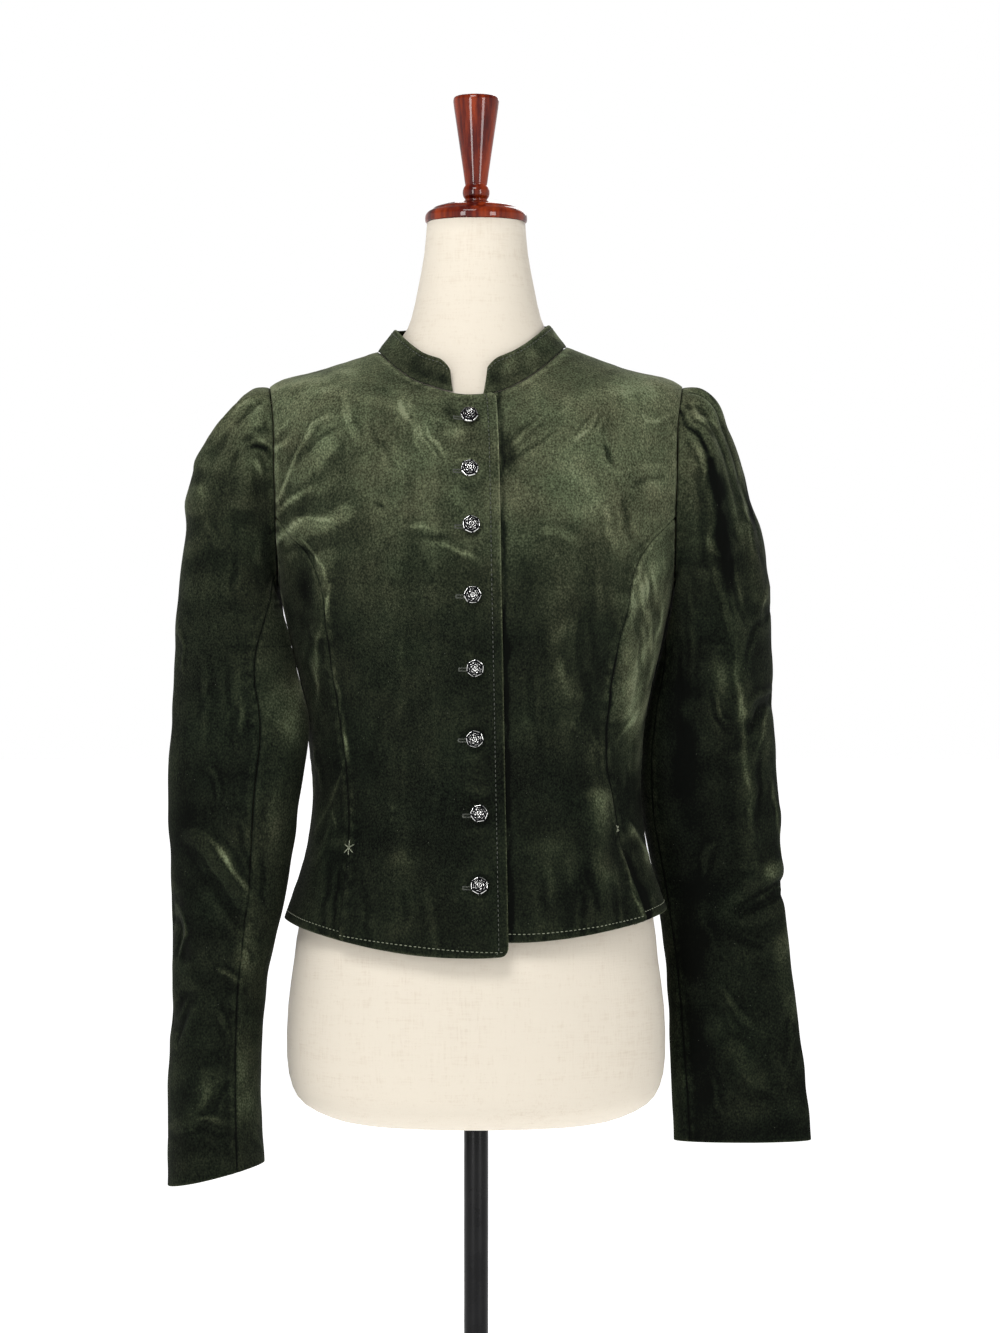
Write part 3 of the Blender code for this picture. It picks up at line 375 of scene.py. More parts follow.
# A crease: width and height in millimetres (a trough's height is negative), how its two ends
# finish ("<" and ">" fade out, "|" stays full), and the line that it runs along.
BODY_CREASES = (
    (5.0, 3.2, "|>", (282, 536), (299, 521), (323, 519), (350, 516)),
    (5.0, -2.6, "|>", (287, 549), (300, 547), (313, 557), (322, 572)),
    (4.5, 1.6, "<>", (303, 539), (316, 557), (328, 578), (322, 600)),
    (3.6, 1.7, "|>", (276, 512), (291, 501), (307, 489), (321, 482)),
    (4.0, -1.2, "|>", (277, 523), (292, 512), (310, 501), (330, 496)),
    (4.2, 1.3, "|>", (277, 499), (294, 463), (307, 434), (320, 419), (350, 414)),
    (4.4, -1.1, "<>", (300, 476), (311, 450), (330, 431), (352, 424)),
    (3.4, 1.5, "|>", (274, 451), (283, 444), (291, 433)),
    (3.4, 1.0, "|>", (271, 431), (283, 425), (290, 415)),
    (4.0, 0.9, "<>", (276, 389), (304, 379), (338, 368)),
    (4.0, -0.8, "<>", (280, 397), (310, 388), (345, 380)),
    (7.0, 1.0, "<>", (356, 377), (346, 400), (352, 430), (366, 452)),
    (6.0, -0.9, "<>", (374, 400), (372, 425), (384, 450), (402, 470)),
    (5.5, 1.4, "<>", (396, 398), (411, 420), (424, 447), (446, 472)),
    (4.0, 0.9, "<>", (405, 395), (432, 418), (462, 433)),
    (4.5, 0.8, "<>", (397, 524), (425, 526), (455, 532)),
    (5.0, -0.7, "<>", (398, 535), (428, 536), (458, 541)),
    (4.5, 0.8, "<>", (423, 544), (458, 549), (480, 562)),
    (3.0, -0.9, "<>", (374, 503), (386, 505)),
    (9.0, 1.3, "<>", (398, 620), (402, 680), (396, 740)),
    (9.0, -1.2, "<>", (372, 640), (378, 700), (370, 770)),
    (8.0, 1.0, "<>", (433, 742), (438, 790), (432, 850)),
    (3.4, 0.9, "<>", (441, 822), (451, 812), (466, 815)),
    (3.0, 0.8, "<>", (394, 812), (391, 823)),
    (9.0, -1.3, "<>", (398, 862), (404, 910), (400, 955)),
    (8.0, 1.2, "<|", (424, 868), (432, 915), (434, 960)),
    (7.0, -1.3, "<|", (363, 868), (366, 910), (371, 950)),
    (5.0, 1.3, "<>", (341, 700), (346, 735), (347, 790)),
    (5.0, 1.4, "<>", (326, 652), (337, 694), (339, 738)),
    (6.0, -1.5, "<>", (312, 600), (309, 655), (318, 714), (326, 770)),
    (5.5, 1.5, "<>", (304, 705), (318, 764), (320, 812), (312, 850)),
    (5.0, 1.3, "<>", (334, 800), (322, 846), (306, 876)),
    (6.0, -1.4, "<|", (338, 832), (326, 880), (322, 930)),
    (4.0, 1.4, "<>", (601, 401), (593, 418), (582, 432), (573, 444)),
    (3.6, 1.0, "<>", (606, 412), (597, 430), (588, 440)),
    (4.2, 1.1, "<>", (497, 453), (519, 437), (542, 420), (562, 408)),
    (4.6, -0.9, "<>", (500, 465), (522, 452), (548, 436), (566, 428)),
    (4.2, -1.2, "<>", (600, 440), (611, 459), (621, 473)),
    (3.8, 1.2, "<|", (618, 472), (640, 467), (664, 463)),
    (4.6, -1.0, "<|", (628, 484), (646, 479), (664, 474)),
    (3.6, 0.9, "<|", (642, 424), (662, 417), (676, 415)),
    (7.0, 1.3, "<>", (603, 498), (611, 534), (615, 556)),
    (6.0, -1.0, "<>", (622, 488), (628, 520), (630, 546)),
    (12.0, 2.2, "<>", (566, 580), (560, 650), (578, 722), (605, 782)),
    (10.0, -2.4, "<>", (581, 590), (582, 664), (593, 722), (608, 748)),
    (9.0, -1.5, "<>", (528, 640), (532, 710), (548, 780)),
    (8.0, 1.2, "<>", (596, 560), (600, 600), (598, 640)),
    (4.4, 1.6, "<>", (643, 545), (640, 582), (646, 612), (652, 640)),
    (4.2, 1.7, "<>", (635, 575), (651, 625), (648, 672), (643, 717)),
    (5.0, -1.7, "<>", (645, 560), (656, 610), (658, 660)),
    (5.0, -1.6, "<>", (632, 610), (640, 660), (634, 706)),
    (4.0, 1.6, "<>", (642, 700), (630, 722), (618, 743), (610, 769)),
    (4.2, 1.4, "<>", (633, 742), (637, 776), (636, 812)),
    (4.4, -1.4, "<>", (626, 750), (629, 784), (627, 815)),
    (4.0, 1.3, "<>", (647, 720), (644, 770), (642, 815)),
    (6.0, 2.0, "<>", (619, 818), (636, 836), (657, 868)),
    (7.0, -2.2, "<|", (622, 842), (640, 872), (652, 908)),
    (8.0, -2.4, "<|", (583, 850), (594, 889), (598, 940)),
    (9.0, 2.0, "<|", (562, 850), (573, 895), (577, 945)),
    (7.0, 1.8, "<|", (606, 848), (615, 890), (624, 935)),
    (10.0, -1.5, "<|", (538, 860), (545, 905), (546, 950)),
    (8.0, 1.0, "<>", (520, 540), (552, 532), (590, 548)),
)
BACK_CREASES = (
    (6.0, 2.0, "|>", (286, 500), (320, 470), (352, 452)),
    (6.0, -1.8, "|>", (284, 520), (318, 494), (356, 478)),
    (5.0, 1.4, "|>", (280, 546), (312, 536), (352, 540)),
    (6.0, 2.0, "|>", (662, 504), (632, 474), (600, 456)),
    (6.0, -1.8, "|>", (664, 524), (630, 500), (594, 486)),
    (5.0, 1.4, "|>", (668, 552), (636, 544), (604, 550)),
    (6.0, 1.3, "<>", (398, 392), (470, 404), (540, 390)),
    (7.0, -1.1, "<>", (388, 412), (470, 424), (548, 412)),
    (10.0, 1.5, "<>", (420, 560), (412, 640), (424, 720)),
    (10.0, -1.5, "<>", (524, 570), (534, 650), (522, 730)),
    (6.0, 2.1, "<>", (352, 700), (410, 716), (472, 708)),
    (6.0, -1.8, "<>", (360, 724), (420, 738), (486, 730)),
    (5.0, 1.7, "<>", (470, 744), (530, 752), (588, 738)),
    (6.0, 1.6, "|>", (310, 752), (340, 742), (372, 752)),
    (6.0, 1.6, "|>", (648, 770), (616, 758), (580, 768)),
    (9.0, -2.0, "<|", (372, 800), (360, 860), (352, 930)),
    (9.0, 1.8, "<|", (402, 810), (398, 870), (396, 940)),
    (10.0, -1.8, "<|", (470, 820), (474, 880), (478, 945)),
    (9.0, 1.8, "<|", (540, 806), (548, 870), (556, 940)),
    (9.0, -2.0, "<|", (588, 800), (604, 862), (616, 930)),
    (5.0, 1.2, "<>", (330, 600), (338, 650), (332, 700)),
    (5.0, 1.2, "<>", (622, 600), (614, 650), (620, 706)),
)
SLEEVE_CREASES = {
    "left": {
        "front": (
            (3.6, 2.0, "|>", (679, 394), (691, 403), (698, 415), (707, 422), (721, 427)),
            (3.4, -2.6, "|>", (680, 403), (690, 411), (702, 424), (714, 437), (724, 452)),
            (4.4, -4.2, "|>", (680, 412), (690, 425), (701, 441), (708, 456), (716, 476)),
            (4.6, 2.6, "|>", (683, 428), (694, 447), (703, 468), (706, 500)),
            (7.0, 2.6, "<>", (704, 490), (711, 554), (722, 597), (731, 632), (742, 680)),
            (6.0, -2.2, "<>", (716, 500), (728, 566), (740, 612), (744, 640)),
            (4.0, 1.9, "<>", (732, 446), (742, 484), (750, 534), (758, 570), (768, 577)),
            (4.6, -2.4, "<>", (741, 446), (752, 500), (762, 546), (770, 560)),
            (5.0, 2.0, "<>", (763, 566), (768, 583), (759, 606), (755, 632)),
            (5.5, -2.6, "<>", (776, 600), (762, 618), (748, 640), (744, 670)),
            (5.0, 2.2, "|>", (776, 690), (760, 694), (748, 704), (742, 722)),
            (5.0, -2.6, "|>", (776, 702), (762, 706), (754, 718), (750, 740)),
            (4.0, 1.7, "<>", (716, 702), (722, 718), (735, 728)),
            (4.5, -1.4, "<>", (708, 690), (716, 716), (730, 738)),
            (6.0, 1.9, "<>", (744, 724), (751, 774), (749, 830), (748, 866)),
            (6.0, -1.7, "<>", (760, 740), (758, 790), (757, 840)),
            (5.0, 1.9, "<>", (772, 770), (778, 805), (785, 843), (784, 880)),
            (4.0, 1.9, "|>", (786, 889), (772, 897), (755, 904), (738, 916)),
            (5.0, -2.2, "|>", (786, 880), (770, 888), (750, 897)),
            (7.0, 1.3, "<>", (720, 981), (739, 1015), (763, 1034)),
            (7.0, -1.2, "<>", (712, 996), (730, 1032), (758, 1050)),
            (5.5, 1.4, "<>", (790, 1010), (793, 1040), (786, 1068)),
            (7.0, 1.2, "<>", (700, 900), (712, 946), (724, 960)),
            (6.0, -1.2, "<>", (728, 930), (745, 944), (768, 948)),
            (7.0, 1.4, "<>", (688, 560), (694, 640), (690, 720)),
            (7.0, -1.4, "<>", (676, 610), (680, 690), (678, 770)),
            (6.0, 1.2, "<>", (742, 1070), (764, 1090), (790, 1094)),
            (5.0, 1.1, "<>", (704, 1060), (716, 1090), (720, 1124)),
            (5.0, 1.4, "<>", (720, 840), (704, 858), (700, 884)),
        ),
        "back": (
            (4.4, -4.0, "|>", (681, 410), (694, 430), (706, 456), (712, 486)),
            (4.4, -3.0, "|>", (681, 394), (700, 404), (716, 424), (727, 452)),
            (5.0, 2.4, "|>", (680, 440), (694, 470), (700, 520)),
            (7.0, 2.2, "<>", (716, 480), (728, 560), (738, 640)),
            (6.0, 2.8, "<>", (770, 640), (734, 652), (694, 644)),
            (6.0, -3.0, "<>", (772, 662), (736, 676), (690, 670)),
            (6.0, 2.6, "<>", (772, 690), (740, 704), (700, 700)),
            (6.0, -2.6, "<>", (774, 720), (742, 730), (698, 730)),
            (5.0, 2.0, "<>", (764, 748), (730, 764), (694, 762)),
            (7.0, 1.6, "<>", (724, 820), (740, 880), (752, 950)),
            (6.0, -1.6, "<>", (742, 830), (760, 900), (766, 960)),
            (7.0, 1.4, "<>", (712, 990), (736, 1030), (760, 1080)),
        ),
    },
    "right": {
        "front": (
            (3.4, 1.8, "|>", (262, 394), (250, 399), (238, 407), (230, 417), (222, 430), (203, 453)),
            (3.6, -2.6, "|>", (263, 401), (252, 408), (243, 419), (236, 432)),
            (3.0, 1.5, "<|", (251, 401), (257, 407), (266, 416)),
            (3.0, -1.8, "<|", (247, 407), (255, 414), (266, 424)),
            (3.4, 2.2, "|>", (271, 448), (265, 438), (255, 433), (243, 438)),
            (4.0, -3.2, "|>", (271, 459), (264, 448), (255, 446), (246, 454)),
            (5.5, 1.8, "<>", (252, 452), (257, 466), (262, 480)),
            (4.4, -2.0, "<>", (272, 470), (266, 486), (262, 502)),
            (4.0, 1.2, "<>", (206, 480), (202, 494), (206, 506)),
            (5.0, 1.2, "<>", (205, 512), (214, 540), (226, 552)),
            (7.0, -1.2, "<>", (232, 500), (236, 560), (232, 620)),
            (8.0, 1.2, "<>", (256, 520), (262, 580), (272, 640)),
            (4.0, 1.3, "<|", (258, 600), (272, 603), (284, 604)),
            (4.0, 1.5, "|>", (180, 628), (184, 650), (182, 680)),
            (8.0, 1.3, "<>", (200, 640), (206, 700), (200, 760)),
            (8.0, -1.2, "<>", (226, 650), (232, 710), (228, 770)),
            (5.0, 1.1, "<>", (236, 700), (240, 724), (240, 742)),
            (5.0, 1.1, "<>", (206, 764), (218, 784), (220, 806)),
            (6.0, 3.0, "<>", (201, 827), (214, 842), (228, 860), (242, 884), (256, 908)),
            (6.0, -2.8, "<>", (230, 818), (241, 838), (250, 862), (254, 884)),
            (6.0, -1.8, "<>", (196, 846), (208, 866), (224, 892)),
            (4.0, 1.8, "|>", (171, 898), (185, 926), (181, 950), (176, 972)),
            (4.6, -2.2, "|>", (170, 914), (178, 934), (174, 956)),
            (4.0, 1.8, "<|", (194, 990), (184, 1004), (176, 1020)),
            (4.6, -1.8, "<|", (190, 1008), (182, 1024), (174, 1040)),
            (6.0, 1.8, "<>", (216, 1066), (206, 1092), (194, 1118)),
            (6.0, -1.4, "<>", (228, 1066), (220, 1094), (208, 1122)),
            (4.5, 1.6, "<>", (214, 964), (230, 974), (243, 990)),
            (4.0, 1.4, "<>", (246, 930), (256, 944), (252, 962)),
            (4.0, -1.4, "<>", (240, 942), (250, 952), (246, 970)),
            (5.0, 1.2, "|>", (171, 1126), (202, 1118), (236, 1122)),
            (5.0, -1.1, "|>", (171, 1138), (204, 1132), (240, 1138)),
            (4.0, 1.3, "<>", (244, 1120), (256, 1136), (264, 1158)),
            (5.5, -1.4, "<>", (268, 830), (262, 874), (266, 920)),
            (6.0, 1.3, "<>", (214, 1000), (226, 1030), (226, 1054)),
            (6.0, 1.6, "<>", (292, 730), (282, 780), (270, 830)),
        ),
        "back": (
            (4.4, -4.0, "|>", (268, 410), (252, 430), (240, 456), (232, 486)),
            (4.4, -3.0, "|>", (268, 396), (246, 404), (230, 424), (218, 452)),
            (5.0, 2.4, "|>", (270, 440), (256, 470), (248, 520)),
            (7.0, 2.2, "<>", (226, 480), (216, 560), (212, 640)),
            (6.0, 2.6, "<>", (176, 660), (214, 672), (262, 664)),
            (6.0, -2.8, "<>", (174, 682), (214, 696), (266, 690)),
            (6.0, 2.4, "<>", (172, 712), (212, 724), (264, 718)),
            (6.0, -2.4, "<>", (172, 742), (212, 752), (262, 748)),
            (5.0, 1.8, "<>", (178, 770), (214, 784), (256, 780)),
            (7.0, 1.6, "<>", (230, 850), (214, 910), (200, 980)),
            (6.0, -1.6, "<>", (214, 860), (198, 930), (190, 990)),
            (7.0, 1.4, "<>", (240, 1020), (224, 1060), (206, 1110)),
        ),
    },
}

# Marks of brushed nap and of painted light and shade: lighter marks are brushed patches and painted
# highlights on ridges, darker ones are darker nap and painted shade in troughs, beside edges and down the
# sleeves' sides. Width in pixels, strength (lighter is positive), ends, and the line. Each table is for a
# group of panels or for one of them.
NAP_AND_PAINTED_LIGHT_MARKS = {
    "body": (
        (8.0, 0.06, "<>", (286, 531), (300, 524), (326, 519)),
        (2.2, 0.46, "|>", (277, 541), (285, 535), (296, 523), (312, 519), (350, 516)),
        (6.0, 0.16, "<>", (288, 534), (300, 526), (314, 525)),
        (2.0, 0.26, "<>", (305, 536), (315, 528), (333, 525)),
        (5.0, -0.20, "<>", (288, 548), (302, 546), (318, 560)),
        (2.4, 0.24, "|>", (276, 510), (295, 498), (309, 490), (326, 486)),
        (2.6, 0.20, "|>", (277, 499), (289, 468), (299, 449), (309, 427), (321, 418), (350, 412)),
        (2.6, 0.14, "<>", (311, 486), (323, 464), (334, 446)),
        (3.0, 0.26, "|>", (275, 451), (283, 446), (290, 435)),
        (2.4, 0.16, "<>", (271, 435), (282, 428), (292, 413)),
        (3.4, 0.22, "<|", (360, 370), (320, 378), (270, 389)),
        (2.4, 0.26, "<>", (348, 745), (341, 772), (330, 801), (319, 825), (311, 840)),
        (2.0, 0.22, "<>", (331, 806), (334, 822), (337, 834)),
        (2.4, 0.46, "<>", (345, 730), (346, 745), (346, 762)),
    ),
    "front_right": (
        (16.0, 0.10, "<>", (300, 395), (340, 384), (376, 372)),
        (22.0, 0.12, "<>", (396, 380), (410, 404), (432, 440)),
        (13.0, 0.12, "<>", (402, 394), (414, 420), (430, 446)),
        (3.0, 0.22, "<>", (398, 394), (404, 412), (412, 428)),
        (3.0, 0.22, "<>", (406, 392), (413, 408), (421, 424)),
        (2.2, 0.26, "<>", (408, 404), (418, 422), (430, 440)),
        (2.2, 0.28, "<>", (414, 418), (424, 436), (438, 458)),
        (2.2, 0.26, "<>", (421, 414), (432, 434), (444, 456)),
        (2.0, 0.26, "<>", (426, 430), (438, 448), (450, 470)),
        (2.0, 0.22, "<>", (410, 430), (420, 450), (432, 470)),
        (1.8, -0.16, "<>", (402, 428), (410, 416), (414, 402)),
        (1.8, -0.14, "<>", (408, 433), (417, 420), (422, 406)),
        (1.8, -0.14, "<>", (414, 432), (426, 448), (440, 468)),
        (1.8, -0.12, "<>", (421, 428), (433, 446), (446, 466)),
        (8.0, 0.16, "<>", (442, 434), (456, 434), (470, 430)),
        (1.8, 0.14, "<>", (446, 428), (448, 440)),
        (1.8, 0.14, "<>", (455, 428), (457, 442)),
        (10.0, -0.14, "<>", (440, 404), (450, 416), (446, 424)),
        (14.0, -0.08, "<>", (376, 386), (386, 420), (396, 452)),
        (16.0, -0.10, "<>", (334, 432), (344, 460), (338, 480)),
        (16.0, -0.10, "<>", (290, 420), (292, 470), (286, 500)),
        (10.0, -0.12, "<>", (300, 480), (308, 505), (290, 520)),
        (34.0, 0.08, "<>", (370, 450), (410, 490), (450, 500)),
        (10.0, 0.12, "<>", (444, 486), (460, 500), (470, 512)),
        (2.4, 0.30, "<>", (452, 463), (462, 459), (480, 461)),
        (2.4, 0.22, "<>", (460, 510), (470, 508), (482, 510)),
        (2.6, 0.20, "<>", (446, 529), (454, 526), (462, 527)),
        (3.0, 0.13, "<>", (398, 524), (420, 526), (450, 533)),
        (3.6, 0.18, "<>", (426, 543), (457, 549), (473, 558), (490, 570)),
        (2.4, -0.22, "<>", (372, 505), (388, 507)),
        (2.0, 0.22, "<>", (374, 502), (388, 501)),
        (5.0, 0.14, "<>", (452, 586), (468, 583), (486, 587)),
        (5.0, 0.12, "<>", (456, 658), (470, 654), (484, 656)),
        (5.0, 0.14, "<>", (462, 752), (474, 756), (486, 750)),
        (6.0, 0.10, "<>", (462, 786), (480, 792), (492, 784)),
        (6.0, 0.08, "<>", (458, 830), (476, 832), (492, 828)),
        (14.0, 0.06, "<>", (474, 860), (480, 900), (470, 936)),
        (20.0, -0.06, "<>", (360, 700), (372, 780), (366, 860)),
        (12.0, 0.05, "<>", (400, 780), (404, 840), (396, 900)),
        (4.0, 0.10, "<>", (391, 812), (393, 800)),
        (2.4, 0.38, "|>", (331, 584), (328, 598), (322, 614), (322, 626), (327, 640)),
        (2.2, 0.42, "|>", (303, 540), (313, 553), (323, 570), (330, 586)),
        (2.0, 0.10, "<>", (328, 640), (334, 678), (341, 712), (345, 732)),
        (3.4, 0.12, "|>", (506, 560), (505, 600), (506, 640)),
    ),
    "front_left": (
        (44.0, 0.08, "<>", (600, 372), (570, 440), (600, 510)),
        (16.0, 0.12, "<>", (522, 400), (540, 390), (552, 378)),
        (18.0, 0.10, "<>", (610, 376), (640, 386), (664, 392)),
        (18.0, 0.12, "<|", (552, 448), (570, 470), (600, 498)),
        (24.0, 0.16, "|>", (600, 500), (616, 540), (624, 574)),
        (14.0, 0.10, "<>", (560, 492), (580, 508), (600, 512)),
        # The next two marks: painted shadow that the right front's edge casts on the left front
        (9.0, -0.26, "<>", (504, 424), (509, 450), (505, 478)),
        (3.6, -0.26, "||", (500, 392), (504.5, 584), (508, 777), (511.5, 950)),
        (6.0, -0.14, "<>", (512, 440), (526, 428), (540, 424)),
        (2.6, 0.16, "<>", (502, 454), (518, 440), (532, 430)),
        (2.2, 0.24, "<>", (601, 402), (597, 416), (588, 430), (574, 440), (560, 444)),
        (2.0, 0.22, "<>", (600, 408), (594, 424), (584, 436), (568, 446)),
        (2.0, -0.12, "<>", (598, 410), (590, 424), (578, 436)),
        (2.4, 0.14, "<>", (545, 420), (560, 413), (576, 408)),
        (2.4, -0.16, "<>", (598, 436), (609, 459), (618, 470)),
        (2.4, 0.20, "<>", (612, 474), (630, 470), (650, 467), (660, 462)),
        (3.0, 0.12, "<>", (634, 414), (652, 420), (672, 414)),
        (5.0, 0.14, "<>", (603, 498), (609, 520), (613, 546)),
        (2.4, 0.26, "<>", (612, 577), (616, 573)),
        (16.0, -0.10, "<>", (516, 540), (526, 580), (520, 620)),
        (15.0, 0.18, "<>", (556, 560), (562, 640), (564, 730), (560, 780)),
        (10.0, 0.10, "<>", (548, 600), (556, 650), (560, 700)),
        (9.0, -0.10, "<>", (590, 590), (594, 650), (592, 716)),
        (14.0, 0.22, "<>", (584, 722), (594, 770), (604, 812), (606, 850)),
        (2.4, -0.14, "<>", (563, 707), (576, 720), (587, 733), (600, 746)),
        (2.6, 0.16, "<>", (566, 712), (580, 727), (598, 745), (606, 778), (613, 796)),
        (18.0, 0.14, "<>", (556, 820), (566, 870), (568, 910)),
        (12.0, 0.12, "<>", (596, 840), (606, 870), (616, 904)),
        (4.0, -0.14, "<>", (582, 862), (588, 878), (592, 900)),
        (5.0, 0.10, "<>", (546, 850), (552, 880), (552, 900)),
        (1.8, 0.26, "<|", (618, 826), (619, 837), (626, 865), (634, 891), (642, 915)),
        (1.6, 0.18, "<>", (612, 657), (608, 681), (607, 711)),
    ),
    "side_front_right": (
        (22.0, -0.18, "<>", (290, 552), (300, 590), (304, 640)),
        (1.8, 0.24, "<>", (277, 560), (280, 594), (290, 624)),
        (2.2, 0.26, "<>", (318, 610), (317, 640), (317, 682), (318, 712)),
        (5.0, 0.20, "<>", (312, 646), (316, 690), (317, 730)),
        (2.4, 0.18, "<>", (312, 752), (313, 780), (311, 812)),
        (1.8, -0.10, "<|", (346, 850), (341, 872), (336, 904), (334, 928)),
    ),
    "side_front_left": (
        (30.0, 0.36, "|>", (640, 550), (646, 640), (634, 730), (630, 800)),
        # Painted shadow in front of the side panel, along the left front's seam
        (5.5, -0.42, "<|", (621, 583), (616, 620), (611, 660), (606, 700), (604, 745)),
        (2.4, 0.22, "<>", (643, 542), (645, 578), (654, 627)),
        (2.4, 0.18, "<>", (658, 588), (652, 627), (644, 660)),
        # More painted shadow in front of the side panel
        (7.0, -0.36, "<>", (629, 588), (624, 608), (619, 632)),
        (4.0, -0.16, "<>", (648, 566), (650, 590), (648, 616)),
        (2.0, 0.20, "<>", (667, 510), (663, 560), (661, 620), (652, 664), (643, 712)),
        (3.0, 0.14, "<>", (630, 738), (631, 756), (630, 774)),
        (2.4, -0.18, "<>", (640, 786), (642, 800), (642, 816)),
        (2.6, 0.16, "<>", (621, 742), (616, 756)),
        (6.0, 0.36, "<>", (620, 822), (636, 838), (650, 860), (658, 878)),
        (2.0, 0.24, "<>", (619, 812), (632, 828), (642, 845), (651, 860), (661, 877), (667, 898)),
        # Painted shade in the vent's gap beside the left front's edge
        (6.0, -0.50, "<|", (622, 846), (632, 874), (642, 900), (650, 924)),
    ),
    "back": (
        (40.0, 0.16, "<>", (330, 390), (470, 380), (620, 394)),
        (34.0, 0.14, "<>", (380, 460), (470, 480), (560, 466)),
        (20.0, -0.14, "<>", (430, 440), (426, 520), (436, 600)),
        (26.0, 0.18, "<>", (350, 560), (340, 640), (356, 700)),
        (24.0, 0.14, "<>", (560, 600), (570, 680), (556, 740)),
        (16.0, 0.20, "<>", (350, 700), (420, 714), (480, 706)),
        (26.0, 0.14, "<>", (400, 820), (396, 880), (390, 930)),
        (3.0, 0.24, "|>", (290, 500), (330, 474), (356, 466)),
        (3.0, 0.24, "|>", (664, 506), (630, 478), (604, 470)),
        (3.0, 0.20, "<>", (380, 712), (420, 722), (470, 714)),
    ),
    "collar": (
        (10.0, 0.10, "<>", (384, 350), (396, 344), (404, 334)),
        (8.0, -0.06, "<>", (420, 366), (440, 378), (452, 380)),
        (10.0, 0.16, "<>", (500, 372), (512, 362), (520, 356)),
        (6.0, 0.26, "<>", (546, 338), (556, 334), (562, 342)),
        (9.0, 0.16, "<>", (520, 362), (538, 350), (552, 344)),
    ),
    "left": (
        (18.0, 0.06, "<>", (700, 400), (716, 420), (724, 440)),
        (3.0, 0.34, "<>", (690, 398), (698, 413), (710, 423), (722, 427)),
        (2.4, 0.20, "<>", (680, 388), (700, 396), (716, 414)),
        (2.4, -0.40, "|>", (679, 409), (690, 424), (702, 443), (711, 466)),
        (2.0, -0.30, "|>", (678, 383), (696, 385), (714, 400), (726, 416)),
        (5.0, 0.20, "<>",
         (684, 426), (694, 442), (704, 466), (708, 498), (710, 548), (716, 578), (724, 618)),
        (9.0, 0.04, "<>", (690, 440), (698, 480), (700, 530)),
        (8.0, -0.45, "|>", (712, 462), (718, 500), (725, 560), (732, 616)),
        (10.0, 0.14, "<>", (728, 452), (738, 500), (746, 560)),
        (2.2, 0.32, "<>", (736, 450), (743, 494), (748, 522), (754, 554), (760, 572), (768, 577)),
        (3.0, -0.20, "<>", (741, 460), (750, 506), (757, 546)),
        (2.2, 0.26, "<>", (768, 577), (767, 595), (761, 615), (757, 630)),
        (2.4, 0.16, "<>", (736, 582), (741, 598), (744, 612)),
        # The next two marks: painted shade down the sleeve's inner side, next to the body
        (22.0, -0.20, "<>", (688, 620), (684, 700), (686, 780), (690, 860)),
        (26.0, -0.16, "<|", (690, 800), (692, 900), (696, 1010), (700, 1130)),
        (12.0, 0.24, "<>", (716, 640), (722, 680), (722, 716)),
        (2.4, 0.20, "<>", (711, 690), (717, 702), (726, 722)),
        (4.0, 0.30, "<>",
         (728, 630), (736, 660), (741, 700), (744, 750), (748, 790), (752, 830), (749, 856)),
        (2.4, 0.22, "<>", (771, 696), (764, 720), (758, 744), (752, 768)),
        (9.0, 0.10, "<>", (762, 700), (768, 750), (772, 800)),
        (2.0, 0.28, "<>", (773, 770), (777, 815), (782, 846), (786, 880)),
        (11.0, 0.22, "<>", (764, 850), (772, 870), (776, 886)),
        (2.2, 0.26, "<>", (748, 906), (760, 898), (772, 891), (781, 888)),
        (14.0, 0.18, "<|", (782, 900), (786, 960), (790, 1010)),
        (3.0, 0.12, "<>", (722, 984), (742, 1014), (762, 1032)),
        (10.0, 0.08, "<>", (770, 1040), (784, 1080), (796, 1120)),
    ),
    "right": (
        (14.0, 0.12, "<>", (246, 404), (256, 416), (262, 436)),
        (2.4, 0.26, "<>", (264, 396), (250, 400), (238, 408), (228, 420)),
        (2.4, 0.28, "<>", (242, 441), (252, 435), (262, 439), (271, 449)),
        (2.2, 0.18, "<>", (250, 400), (258, 408), (267, 420)),
        (2.2, -0.26, "<>", (254, 404), (262, 414), (270, 432)),
        (4.0, -0.30, "<>", (270, 456), (262, 448), (254, 446), (246, 452)),
        (8.0, 0.18, "<>", (252, 458), (258, 470), (260, 484)),
        (4.0, -0.16, "<>", (270, 470), (268, 484), (262, 498)),
        (5.0, 0.14, "<>", (206, 478), (202, 492), (205, 504)),
        (16.0, 0.06, "<>", (256, 500), (250, 560), (246, 600)),
        (1.8, 0.16, "<>", (277, 590), (284, 610), (292, 640)),
        (20.0, 0.10, "<>", (262, 630), (270, 700), (268, 760)),
        (16.0, -0.05, "<|", (188, 640), (184, 760), (184, 900), (190, 1120)),
        (7.0, 0.28, "<>", (203, 830), (214, 842), (228, 860), (242, 884), (254, 906)),
        (2.4, 0.18, "<>", (206, 830), (220, 848), (234, 872), (246, 896)),
        (5.0, 0.14, "<>", (238, 640), (240, 700), (238, 740)),
        (12.0, 0.18, "<>", (250, 900), (246, 950), (240, 990)),
        (3.0, 0.18, "<>", (214, 964), (230, 975), (242, 990)),
        (2.4, 0.18, "<>", (172, 900), (184, 926), (181, 950), (176, 970)),
        (8.0, 0.14, "<>", (216, 1066), (206, 1092), (196, 1118)),
        (14.0, 0.14, "<>", (250, 1010), (246, 1080), (250, 1150)),
        (3.0, 0.12, "<>", (174, 1128), (202, 1119), (236, 1122)),
    ),
    "under_sleeve_right": (
        (20.0, 0.24, "<>", (300, 650), (292, 720), (280, 760)),
        (10.0, 0.08, "<>", (280, 760), (274, 820), (268, 880)),
    ),
    "under_sleeve_left": ((30.0, -0.10, "<>", (690, 600), (680, 700), (690, 860)),),
}
